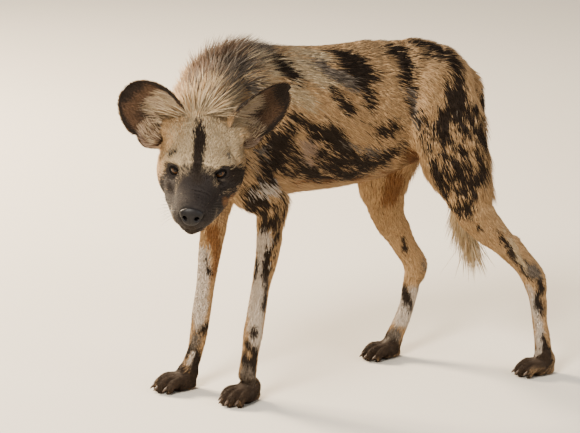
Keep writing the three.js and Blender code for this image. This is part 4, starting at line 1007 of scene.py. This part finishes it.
fur = Finish("fur", Roughness=0.58, Specular_IOR_Level=0.25)
hair = fur.node("Attribute", {"attribute_name": "coat"}, output="Color")
fur.feed("Base Color", fur.mixed(fur.noise(160, 3) * 0.3, hair, (0.09, 0.055, 0.032, 1)))
corners_of = np.zeros(len(skin_mesh.loops), np.int32)
skin_mesh.loops.foreach_get("vertex_index", corners_of)
corners_of = corners_of.reshape(-1, 3)
length, width, rise, many = coat_plan(points, skin_part, skin_face, skin_normals)
triangle = points[corners_of]
across = np.cross(triangle[:, 1] - triangle[:, 0], triangle[:, 2] - triangle[:, 0])
area = np.linalg.norm(across, axis=1) / 2
wanted = area * many[corners_of].mean(1)
nose_space = skin_face[corners_of].mean(1)
on_nose = (nose_space[:, 0] > 91) & (np.abs(nose_space[:, 1]) < 20) & (nose_space[:, 2] > -51)
wanted *= ~on_nose
for side in (1, -1):
    turn = math.radians(side * EYE_TURN)
    eye = nose_space - (EYE_SEAT[0], side * EYE_SEAT[1], EYE_SEAT[2])
    aside = -eye[:, 0] * math.sin(turn) + eye[:, 1] * math.cos(turn)
    wanted *= ((aside / 13.5) ** 2 + (eye[:, 2] / 8.5) ** 2 > 1) | (eye[:, 0] < -2)
count = np.floor(wanted + dice.uniform(size=len(wanted))).astype(int)
which = np.repeat(np.arange(len(count)), count)
share = dice.dirichlet((1, 1, 1), len(which))
picked = corners_of[which]


def blended(values):
    """Values at the skin's points, taken to the roots."""
    if values.ndim == 1:
        return (values[picked] * share).sum(1)
    return (values[picked] * share[:, :, None]).sum(1)


def unit(vectors):
    return vectors / np.maximum(np.linalg.norm(vectors, axis=1), 1e-9)[:, None]


root = blended(points)
root_normal = unit(blended(skin_normals))
root_number = skin_part[picked[:, 0]]
disorder = 0.13 + 0.09 * (root_number == PARTS.index("neck"))
root_lie = unit(blended(skin_lie) + dice.normal(0, 1, (len(root), 3)) * disorder[:, None])
root_lie = unit(root_lie - (root_lie * root_normal).sum(1)[:, None] * root_normal)
root_face = blended(skin_face)
root_size = [blended(v) * dice.uniform(0.75, 1.2, len(root)) for v in (length, width, rise)]
streak = root + root_lie * (dice.normal(0, 0.2, len(root)) * root_size[0])[:, None]
root_kinds = kinds_at(streak)
root_unwrap = unwrapped(root, root_number, root_face)
root_body = written_in(BODY, root)
SLOTS = {"neck": "mane", "tail": "white_coat", "leg_front_left": "white_coat", "leg_hind_left": "white_coat"}
for number, name in enumerate(PARTS):
    on = root_number == number
    halves = {"": on}
    if name == "trunk":
        fore = root_body[:, 0] > 0
        left = root_body[:, 1] > 0
        halves = {"_fore_left": on & fore & left, "_fore_right": on & fore & ~left,
                  "_rear_left": on & ~fore & left, "_rear_right": on & ~fore & ~left}
    if name == "head":
        halves = {"_cheeks": on & (root_face[:, 0] < 5), "_muzzle": on & (root_face[:, 0] >= 5)}
    if name in LEGS:
        upper = root_body[:, 2] > LEG_HALVES
        halves = {"_upper": on & upper, "_lower": on & ~upper}
    for half, chosen in halves.items():
        size = [values[chosen] for values in root_size]
        tufts("coat_" + name + half, root[chosen], root_normal[chosen], root_lie[chosen], size,
              root_kinds[chosen], root_unwrap[chosen], SLOTS.get(name, "tan_coat"))

# Eyes. An amber iris round a dark pupil on each eyeball, between thick black lids that open as a slanted almond. An
# iris and its pupil are written as degrees from the middle of the gaze, and a lid as rings round its opening.
IRIS = 37.0
PUPIL = 17.0
EYE_SPOKES = 64
LID_LINE = [(-11.2, -3.9), (-6.9, 1.8), (-1.1, 5.4), (4.8, 5.5), (9.2, 3.6), (11.4, 1.7), (8.2, -1.7),
            (2.9, -4.8), (-3.7, -5.8), (-8.4, -5.2)]
LID_RINGS = ((-0.4, 11.6), (-0.1, 12.5), (0.0, 13.2), (0.5, 13.9), (1.5, 14.5), (3.0, 14.7), (5.0, 14.2),
             (7.6, 12.6))


def smooth_mesh(name, places, faces):
    """A mesh of faces between places, shaded smooth."""
    mesh = bpy.data.meshes.new(name)
    mesh.from_pydata([tuple(place) for place in places], [], faces)
    mesh.polygons.foreach_set("use_smooth", np.ones(len(mesh.polygons), bool))
    return mesh


def ring_mesh(name, rings, capped=False):
    """A mesh through closed rings of points, each ring with as many points as the last."""
    count = len(rings[0])
    faces = []
    for i in range(len(rings) - 1):
        for j in range(count):
            k = (j + 1) % count
            faces.append((i * count + j, i * count + k, (i + 1) * count + k, (i + 1) * count + j))
    if capped:
        faces.append(tuple(reversed(range(count))))
        faces.append(tuple(range((len(rings) - 1) * count, len(rings) * count)))
    return smooth_mesh(name, [place for ring in rings for place in ring], faces)


glass = Finish("eye", Roughness=0.2, Specular_IOR_Level=0.25, Coat_Weight=0.5, Coat_Roughness=0.04)
iris_ground = glass.node("Attribute", {"attribute_name": "coat"}, output="Color")
glass.feed("Base Color", glass.mixed(glass.noise(700, 3) * 0.5, iris_ground, (0.02, 0.008, 0.003, 1)))
rim_skin = Finish("lid_skin", Roughness=0.65, Specular_IOR_Level=0.12)
rim_skin.feed("Base Color", rim_skin.mixed(
    rim_skin.noise(500, 3), (0.009, 0.007, 0.006, 1), (0.004, 0.003, 0.003, 1)))
rim_skin.bump(rim_skin.noise(1500, 2), 0.4)
head_to_camera = np.linalg.inv(HEAD[:3, :3]) @ (np.array(CAMERA_PLACE) - HEAD[:3, 3])
head_to_camera /= np.linalg.norm(head_to_camera)
for name, side in (("left", 1), ("right", -1)):
    seat = np.array((EYE_SEAT[0], side * EYE_SEAT[1], EYE_SEAT[2]))
    turn = math.radians(side * EYE_TURN)
    out = np.array((math.cos(turn), math.sin(turn), 0))
    across = np.array((-math.sin(turn), math.cos(turn), 0)) * side
    gaze = out * 0.5 + head_to_camera * 0.5
    gaze /= np.linalg.norm(gaze)
    right = np.cross(gaze, (0, 0, 1))
    right /= np.linalg.norm(right)
    above = np.cross(right, gaze)
    rings = []
    shades = []
    for degrees in np.concatenate([[0.5, 4, 8, 11], np.arange(12, 44, 1.5), np.arange(46, 180, 8)]):
        tilt = math.radians(degrees)
        radius = EYE_RADIUS + 0.5 * math.exp(-((degrees / 24) ** 2))
        spokes = np.linspace(0, 2 * math.pi, EYE_SPOKES, endpoint=False)
        spread = [right * math.cos(a) + above * math.sin(a) for a in spokes]
        rings.append([placed(HEAD, [seat + radius * (gaze * math.cos(tilt) + math.sin(tilt) * way)])[0]
                      for way in spread])
        outer = np.clip((degrees - PUPIL) / (IRIS - PUPIL), 0, 1)
        amber = np.array((0.115, 0.05, 0.016)) * (1 - outer) + np.array((0.06, 0.025, 0.009)) * outer
        for a in range(EYE_SPOKES):
            streak = 1 + 0.28 * math.sin(a * 2.9 + math.sin(a * 1.7) * 3)
            shade = amber * streak
            if degrees < PUPIL:
                shade = np.array((0.002, 0.002, 0.002))
            elif degrees > IRIS:
                shade = np.array((0.035, 0.024, 0.018))
            elif degrees > IRIS - 4:
                shade = amber * 0.25
            shades.append(shade)
    eyeball = ring_mesh("eyeball_" + name, rings, capped=True)
    painted(eyeball, shades)
    piece_of("eyeball_" + name, eyeball, glass.material, "eye", "eye_" + name)
    outline = [np.array(spot) for spot in LID_LINE]
    loop = []
    for i in range(len(outline)):
        p0, p1, p2, p3 = (outline[(i + k - 1) % len(outline)] for k in range(4))
        for t in np.linspace(0, 1, 6, endpoint=False):
            loop.append(0.5 * (2 * p1 + (p2 - p0) * t + (2 * p0 - 5 * p1 + 4 * p2 - p3) * t * t
                               + (3 * p1 - p0 - 3 * p2 + p3) * t ** 3))
    rings = []
    for grow, radius in LID_RINGS:
        ring = []
        for spot in loop:
            reach = spot * (1 + grow / max(np.linalg.norm(spot), 1e-6))
            flat = np.linalg.norm(reach)
            angle = min(flat / 12.6, 1.5)
            aside = (across * reach[0] + np.array((0, 0, 1)) * reach[1]) / flat
            way = out * math.cos(angle) + aside * math.sin(angle)
            ring.append(placed(HEAD, [seat + way * radius])[0])
        rings.append(ring)
    piece_of("eyelids_" + name, ring_mesh("eyelids_" + name, rings), rim_skin.material, "dark_coat")

# Nose. Black pebbled leather, a little proud of the muzzle, with a comma of a nostril on each side and a groove
# down its middle to the lip.
NOSE_STEP = 0.0012
nostrils = []
for side in (1, -1):
    nostrils.append([(109, side * 11, -37, 4.2), (99, side * 10, -36, 3.6)])
    nostrils.append([(106.5, side * 13, -38, 3.2), (102, side * 18.5, -40, 2.6), (95, side * 25, -42, 1.8)])
nostrils.append([(107.5, 0, -32, 0.7), (108, 0, -42, 1.1), (106, 0, -56, 1.2)])


def chain_distance(p, stations):
    """How far points are outside a chain of balls, in millimetres."""
    rows = np.array(stations, float)
    least = np.full(len(p), UNREACHED)
    for one, two in zip(rows, rows[1:]):
        run = two[:3] - one[:3]
        t = np.clip((p - one[:3]) @ run / max(run @ run, 1e-9), 0, 1)
        gap = np.linalg.norm(p - one[:3] - t[:, None] * run, axis=1) - (one[3] + (two[3] - one[3]) * t)
        least = np.minimum(least, gap)
    return least


def nose_leather(p):
    """How far points are outside the nose pad, in metres."""
    face = written_in(HEAD, p)
    value = flesh_at(p) * 1000 - 2.2
    wide = 25.5 - 0.15 * np.maximum(-24 - face[:, 2], 0) ** 1.25
    block = (np.abs(face[:, 1] / wide) ** 2.7 + np.abs((face[:, 2] + 29.5) / 23) ** 2.7) ** (1 / 2.7)
    block = 22 * (block - 1)
    block = np.maximum(block, 92 + 0.25 * (face[:, 2] + 29) - face[:, 0])
    value = -melted(-value, -block, 8)
    for chain in nostrils:
        value = -melted(-value, chain_distance(face, chain), 2.2)
    return value / 1000


nose_corners = placed(HEAD, [(a, l, u) for a in (82, 122) for l in (-29, 29) for u in (-60, 2)])
nose_points, nose_quads = net_of(nose_leather, nose_corners.min(0), nose_corners.max(0), NOSE_STEP)
for _ in range(2):
    gap = nose_leather(nose_points)
    slope = slope_of(nose_leather, nose_points, gap, SLOPE_STEP / 2)
    nose_points -= slope * (gap / np.maximum((slope * slope).sum(1), LEAST_SLOPE))[:, None]
nose_mesh = smooth_mesh("nose_pad", nose_points.tolist(), nose_quads.tolist())
leather = Finish("nose_leather", Roughness=0.46, Specular_IOR_Level=0.4, Coat_Weight=0.1, Coat_Roughness=0.3)
leather_place = leather.node("TexCoord", output="Object")
pebbles = leather.node("TexVoronoi", {"feature": "DISTANCE_TO_EDGE"}, {"Vector": leather_place, "Scale": 620})
leather.feed("Base Color", leather.mixed(
    leather.noise(90, 4), (0.006, 0.005, 0.005, 1), (0.018, 0.014, 0.014, 1)))
leather.bump(pebbles, 0.5, 0.0006)
piece_of("nose_pad", nose_mesh, leather.material, "nose_leather", "nose")

# Ears. Each is a thin curled sheet of skin and gristle, cupped forward, with folds at its root, a pouch low on its
# outer edge, a dark furred rim, shade painted dark into the hollow of the cup, and long pale hair growing out of the
# cup.
EAR_LENGTH = 120.0
EAR_HALF_WIDTH = 50.0
EAR_THICKNESS = 3.6
EAR_WIDEST = 0.42
EAR_CROWN = 0.6
EAR_TIP = 1.0196
EARS = {
    "left": {"side": 1, "root": (-77, 63, 31), "along": (-0.57, 0.66, 0.49), "facing": (0.75, 0.66, -0.03),
             "reach": 1.03, "spread": 0.94, "curls": (1.5, 0.63), "bend": 0, "base": 0.85, "corner": 0.07},
    "right": {"side": -1, "root": (-73, -54, 28), "along": (-0.19, -0.72, 0.66), "facing": (0.94, 0.05, 0.33),
              "reach": 0.98, "spread": 1.03, "curls": (1.18, 0.5), "bend": 10, "base": 0.76, "corner": 0.0},
}


def eased(t, low, high):
    """0 below low and 1 above high, with a smooth run between them."""
    t = np.clip((t - low) / (high - low), 0, 1)
    return t * t * (3 - 2 * t)


def ear_at(ear, s, u, inside):
    """Points of an ear's sheet: s runs from root to tip, u across from edge to edge."""
    up = np.array(ear["along"], float)
    up /= np.linalg.norm(up)
    out = np.array(ear["facing"], float)
    out -= up * (up @ out)
    out /= np.linalg.norm(out)
    wide = np.cross(out, up)
    inward = u * ear["side"]
    crown = np.sqrt(np.clip(1 - ((s - EAR_WIDEST) / EAR_CROWN) ** 2, 1e-4, 1))
    half = np.where(s > EAR_WIDEST, crown, ear["base"] + (1 - ear["base"]) * eased(s, -0.2, EAR_WIDEST))
    pouch = 0.08 * np.exp(-(((s - 0.17) / 0.09) ** 2)) - 0.09 * np.exp(-(((s - 0.37) / 0.06) ** 2))
    half = half * (1 - (0.34 + 0.42 * eased(inward, 0.1, 1)) * (1 - eased(s, -0.2, 0.16)))
    half = half * EAR_HALF_WIDTH * ear["spread"] * (1 + pouch * eased(-inward, 0.3, 1))
    curl = ear["curls"][0] + (ear["curls"][1] - ear["curls"][0]) * np.clip(s, 0, 1)
    radius = half / np.sin(curl)
    shell = radius - inside * EAR_THICKNESS * (1 - 0.55 * np.abs(u)) * (1 - 0.35 * s)
    fold = 6.5 * np.exp(-(((inward - 0.5 + 0.35 * s) / 0.15) ** 2))
    fold = fold * eased(s, -0.1, 0.12) * (1 - eased(s, 0.35, 0.66))
    fold = fold + 5 * np.exp(-(((inward + 0.6) / 0.13) ** 2) - ((s - 0.06) / 0.13) ** 2)
    fold = fold + 3 * np.exp(-(((inward - 0.05) / 0.1) ** 2) - ((s - 0.12) / 0.12) ** 2)
    fold = fold + 0.5 * np.sin(inward * 21 + s * 5) * eased(s, 0, 0.3) * (1 - eased(s, 0.6, 0.9))
    shell = shell - inside * fold * (1 - np.abs(u) ** 6)
    long = s * EAR_LENGTH * ear["reach"] * (1 + ear["corner"] * np.clip(inward, 0, 1) ** 2 * eased(s, 0.3, 1))
    face = np.array(ear["root"]) + long[:, None] * up + (shell * np.sin(curl * u))[:, None] * wide
    forward = ear["bend"] * s * s - 4 - 16 * (1 - eased(s, -0.2, 0.07))
    forward = forward + radius * np.cos(curl) - shell * np.cos(curl * u)
    face = face + forward[:, None] * out
    return placed(HEAD, face)


def ear_slopes(ear, s, u, inside):
    """The outward normal and the runs towards the tip and across, at places on one face of an ear."""
    here = ear_at(ear, s, u, inside)
    to_tip = unit(ear_at(ear, s + 0.01, u, inside) - here)
    aside = unit(ear_at(ear, s, u + 0.01, inside) - here)
    normal = unit(np.cross(aside, to_tip)) * (-1 if inside else 1)
    return here, normal, to_tip, aside


def ear_kinds(s, inward, inside):
    """The share of each kind of hair on an ear."""
    shares = np.zeros((len(s), len(KINDS)))
    shares[:, KINDS.index("dark")] = 1
    if inside:
        shares[:] = 0
        shares[:, KINDS.index("ear")] = 1
        rim = np.maximum(eased(np.abs(inward), 0.72, 0.92), eased(s, 0.72, 0.9)) * eased(s, 0.12, 0.4)
        # The middle of the cup is painted dark: painted shade in the ear's hollow, not a marking.
        hollow_shade = np.exp(-(((inward + 0.12) / 0.3) ** 2)) * eased(s, 0, 0.1) * (1 - eased(s, 0.45, 0.8))
        dark = np.clip(np.maximum(rim, hollow_shade), 0, 1)
        lobe = eased(-inward, 0.45, 0.8) * (1 - eased(s, 0.12, 0.36))
        tan = np.clip(lobe + 0.7 * np.exp(-(((inward - 0.45) / 0.22) ** 2)) * (1 - eased(s, 0.3, 0.6)), 0, 1)
        shares *= (1 - dark)[:, None]
        shares[:, KINDS.index("dark")] += dark
        shares *= (1 - tan)[:, None]
        shares[:, KINDS.index("pink")] += tan
    else:
        base = 1 - eased(s, 0.0, 0.22)
        shares *= (1 - base)[:, None]
        shares[:, KINDS.index("tan")] += base
    root = 1 - eased(s, -0.05, 0.1)
    shares *= (1 - root)[:, None]
    shares[:, KINDS.index("tan")] += root
    return shares


round_rows = EAR_WIDEST + EAR_CROWN * np.sin(np.linspace(0, math.pi / 2, 26))
ear_rows = np.concatenate([np.linspace(-0.2, EAR_WIDEST, 26)[:-1], round_rows])
ear_rows[-1] = EAR_TIP
ear_columns = np.linspace(-1, 1, 49)
for hand, ear in EARS.items():
    sheet = [(s, u) for s in ear_rows for u in ear_columns]
    s_all, u_all = np.array(sheet).T
    across_count = len(ear_columns)
    places = np.concatenate([ear_at(ear, s_all, u_all, 0), ear_at(ear, s_all, u_all, 1)])
    total = len(s_all)
    faces = []
    for i in range(len(ear_rows) - 1):
        for j in range(across_count - 1):
            a = i * across_count + j
            faces.append((a, a + 1, a + across_count + 1, a + across_count))
            faces.append((total + a, total + a + across_count, total + a + across_count + 1, total + a + 1))
    rim = [i * across_count for i in range(len(ear_rows))]
    rim += [(len(ear_rows) - 1) * across_count + j for j in range(1, across_count)]
    rim += [i * across_count + across_count - 1 for i in range(len(ear_rows) - 2, -1, -1)]
    rim += [j for j in range(across_count - 2, 0, -1)]
    for a, b in zip(rim, rim[1:] + rim[:1]):
        faces.append((a, b, total + b, total + a))
    pinna = smooth_mesh("pinna_" + hand, places.tolist(), faces)
    tint = 0.3 * hair_colours[:, 0] + 0.7 * hair_colours[:, 1]
    inward = u_all * ear["side"]
    painted(pinna, np.concatenate([ear_kinds(s_all, inward, inside) @ tint for inside in (False, True)]))
    piece_of("pinna_" + hand, pinna, hide.material, "dark_coat", "ear_" + hand)
    roots, normals, lies, sizes, kinds, unwraps = [], [], [], [], [], []

    def grow(count, inside, s_range, m_range, size, rise, pick, towards=0.0, edge=False):
        """Adds tufts over part of one face of the ear."""
        s = dice.uniform(*s_range, count)
        m = dice.uniform(*m_range, count)
        if edge:
            m = np.sign(m) * dice.uniform(0.96, 1.0, count)
            on_crown = dice.uniform(size=count) < 0.35
            s = np.where(on_crown, EAR_WIDEST + EAR_CROWN * np.sin(dice.uniform(0.9, 1.57, count)), s)
        s = np.minimum(s, 0.995)
        room = np.sqrt(np.clip(1 - ((s - EAR_WIDEST) / EAR_CROWN) ** 2, 0.02, 1))
        keep = (dice.uniform(size=count) < np.where(s > EAR_WIDEST, room, 1)) | edge
        s = s[keep]
        m = m[keep]
        here, normal, to_tip, aside = ear_slopes(ear, s, m * ear["side"], inside)
        aside = aside * ear["side"]
        spread = dice.normal(0, 0.16, (len(s), 3))
        lie = unit(to_tip + aside * (towards + 0.5 * m)[:, None] + spread)
        lie = unit(lie - (lie * normal).sum(1)[:, None] * normal)
        roots.append(here)
        normals.append(normal)
        lies.append(lie)
        sizes.append(np.array([[size[0], size[1], rise]]) * dice.uniform(0.7, 1.2, (len(s), 1)))
        kinds.append(pick(s, m))
        half = 0.25 if inside else 0.75
        unwraps.append(np.column_stack([half + 0.22 * m, 0.1 + 0.8 * np.clip(s, 0, 1)]))

    def of_kind(*named):
        """Picks hair of the kinds named, in like shares."""
        def pick(s, m):
            shares = np.zeros((len(s), len(KINDS)))
            for name in named:
                shares[:, KINDS.index(name)] += 1 / len(named)
            return shares
        return pick

    grow(6200, 0, (-0.05, 1.0), (-1, 1), (0.008, 0.0017), 0.2, lambda s, m: ear_kinds(s, m, False))
    grow(5200, 1, (0.1, 1.0), (-0.98, 0.98), (0.0062, 0.0014), 0.2, lambda s, m: ear_kinds(s, m, True))
    grow(1300, 1, (0.0, 0.5), (0.1, 0.93), (0.03, 0.0014), 0.36, of_kind("pink", "cream", "cream"),
         towards=-0.8)
    grow(700, 1, (0.0, 0.3), (-0.85, -0.3), (0.026, 0.0014), 0.36, of_kind("pink", "cream", "ear"),
         towards=0.35)
    grow(1500, 0, (0.0, 0.9), (-1, 1), (0.0062, 0.0013), 0.12, of_kind("dark", "ear", "tan"), edge=True)
    grown = [np.concatenate(part) for part in (roots, normals, lies, sizes, kinds, unwraps)]
    grown[3] = list(grown[3].T)
    tufts("coat_ear_" + hand, *grown, "dark_coat")

# Claws. Blunt brown horn, four to a foot, curving down from the ends of the toes. Each is a tapering run of rings
# with closed ends, a little flatter than round.
CLAW_LENGTH = 14.0
CLAW_SIDES = 12
horn = Finish("claw_horn", Roughness=0.38, Specular_IOR_Level=0.5)
horn.feed("Base Color", horn.mixed(horn.noise(260, 3), (0.16, 0.11, 0.075, 1), (0.05, 0.033, 0.024, 1)))
horn.bump(horn.noise(300, 2, stretch=(1, 1, 4)), 0.3)
for leg, paw in PAWS.items():
    mesh_places = []
    mesh_faces = []
    for reach, sideways, radius in TOES:
        start = len(mesh_places)
        spine = [(reach - 5, 13.0, 3.6), (reach + 1, 13.2, 3.5), (reach + 5, 12.2, 3.1),
                 (reach + CLAW_LENGTH * 0.72, 9.4, 2.2), (reach + CLAW_LENGTH * 0.92, 7.2, 1.2),
                 (reach + CLAW_LENGTH, 6.2, 0.3)]
        for ahead, up, thick in spine:
            for k in range(CLAW_SIDES):
                turn = 2 * math.pi * k / CLAW_SIDES
                lift = thick * math.sin(turn)
                aside = 0.72 * thick * math.cos(turn)
                mesh_places.append(placed(paw, [(ahead + 0.3 * lift, sideways + aside, up + lift)])[0])
        for i in range(len(spine) - 1):
            for k in range(CLAW_SIDES):
                a = start + i * CLAW_SIDES + k
                b = start + i * CLAW_SIDES + (k + 1) % CLAW_SIDES
                mesh_faces.append((a, a + CLAW_SIDES, b + CLAW_SIDES, b))
        last = start + (len(spine) - 1) * CLAW_SIDES
        mesh_faces.append(tuple(start + k for k in range(CLAW_SIDES)))
        mesh_faces.append(tuple(last + k for k in reversed(range(CLAW_SIDES))))
    claw_mesh = smooth_mesh("claws_" + leg, mesh_places, mesh_faces)
    piece_of("claws_" + leg, claw_mesh, horn.material, "dark_coat")

# Whiskers. Stiff dark hairs in four rows on each side of the muzzle, and a few over each eye. Each tapers to a point
# and droops a little towards it.
WHISKER_RADIUS = 0.0003
WHISKER_DROOP = 0.25
roots = []
ways = []
for side in (1, -1):
    for row in range(4):
        for column in range(6):
            roots.append((82 - 8 * column - 2 * row, side * 60, -34 - 6 * row))
            ways.append((-0.35 - 0.1 * column, side * 1.0, -0.35 - 0.12 * row + 0.1 * column))
    for k in range(4):
        roots.append((-2 - 3 * k, side * (30 + 5 * k), 60))
        ways.append((-0.1, side * (0.25 + 0.15 * k), 0.9))
whisker_places = []
whisker_faces = []
for target, way in zip(roots, ways):
    on_muzzle = target[2] < 0
    inner = np.array((target[0], 0.0, target[2]) if on_muzzle else (target[0], target[1], 0.0), float)
    outer = np.array(target, float)
    line = placed(HEAD, inner + (outer - inner) * np.linspace(0, 1, 90)[:, None])
    outside = np.nonzero(flesh_at(line) > -0.0015)[0]
    if not len(outside):
        continue
    begin = line[outside[0]]
    way = turned(HEAD, way)
    droop = np.array((0, 0, -1.0))
    long = dice.uniform(0.026, 0.042)
    side_way = unit(np.cross(way, droop)[None])[0]
    other = np.cross(way, side_way)
    start = len(whisker_places)
    for t in (0, 0.33, 0.66):
        middle = begin + way * long * t + droop * long * WHISKER_DROOP * t * t
        thick = WHISKER_RADIUS * (1 - 0.8 * t)
        for k in range(3):
            turn = 2 * math.pi * k / 3
            aside = side_way * math.cos(turn) + other * math.sin(turn)
            whisker_places.append(tuple(middle + thick * aside))
    whisker_places.append(tuple(begin + way * long + droop * long * WHISKER_DROOP))
    for i in range(2):
        for k in range(3):
            a = start + i * 3 + k
            b = start + i * 3 + (k + 1) % 3
            whisker_faces.append((a, b, b + 3, a + 3))
    whisker_faces += [(start + 6 + k, start + 6 + (k + 1) % 3, start + 9) for k in range(3)]
    whisker_faces.append((start + 2, start + 1, start))
whisker_mesh = bpy.data.meshes.new("whiskers")
whisker_mesh.from_pydata(whisker_places, [], whisker_faces)
bristle = Finish("whisker", Roughness=0.4)
bristle.feed("Base Color", bristle.mixed(
    bristle.noise(80, 2), (0.02, 0.015, 0.012, 1), (0.05, 0.04, 0.03, 1)))
piece_of("whiskers", whisker_mesh, bristle.material, "dark_coat")

# Floor and studio light. A plain pale floor under soft light: a wide key light high on the left of the camera, a
# weaker fill on its right, and a low soft light from behind that catches the edges of the coat.
FLOOR_REACH = 30
LIGHT_TARGET = Vector((0, 0, 0.35))
pale = Finish("pale_floor", Roughness=0.85)
pale.feed("Base Color", pale.mixed(pale.noise(0.9, 2), (0.74, 0.69, 0.61, 1), (0.79, 0.745, 0.67, 1)))
floor_mesh = bpy.data.meshes.new("floor")
floor_corners = [(x * FLOOR_REACH, y * FLOOR_REACH, 0) for x, y in ((-1, -1), (1, -1), (1, 1), (-1, 1))]
floor_mesh.from_pydata(floor_corners, [], [(0, 1, 2, 3)])
floor_mesh.materials.append(pale.material)
floor = bpy.data.objects.new("floor", floor_mesh)
bpy.context.scene.collection.objects.link(floor)
LIGHTS = {
    "key_light": ((3.2, -4.2, 4.6), 2.4, 470, (1.0, 0.95, 0.87)),
    "fill_light": ((4.8, 2.6, 2.4), 3.0, 90, (0.93, 0.96, 1.0)),
    "edge_light": ((-3.6, -1.6, 2.6), 1.6, 420, (1.0, 0.84, 0.64)),
}
for name, (place, width, power, tint) in LIGHTS.items():
    lamp = bpy.data.lights.new(name, "AREA")
    lamp.shape = "DISK"
    lamp.size = width
    lamp.energy = power
    lamp.color = tint
    light = bpy.data.objects.new(name, lamp)
    light.location = place
    light.rotation_euler = (LIGHT_TARGET - light.location).to_track_quat("-Z", "Y").to_euler()
    bpy.context.scene.collection.objects.link(light)
studio = bpy.data.worlds.new("studio")
studio.use_nodes = True
sky = studio.node_tree.nodes["Background"]
sky.inputs["Color"].default_value = (0.9, 0.88, 0.85, 1)
sky.inputs["Strength"].default_value = 0.4
bpy.context.scene.world = studio
bpy.context.scene.view_settings.look = "AgX - Medium High Contrast"
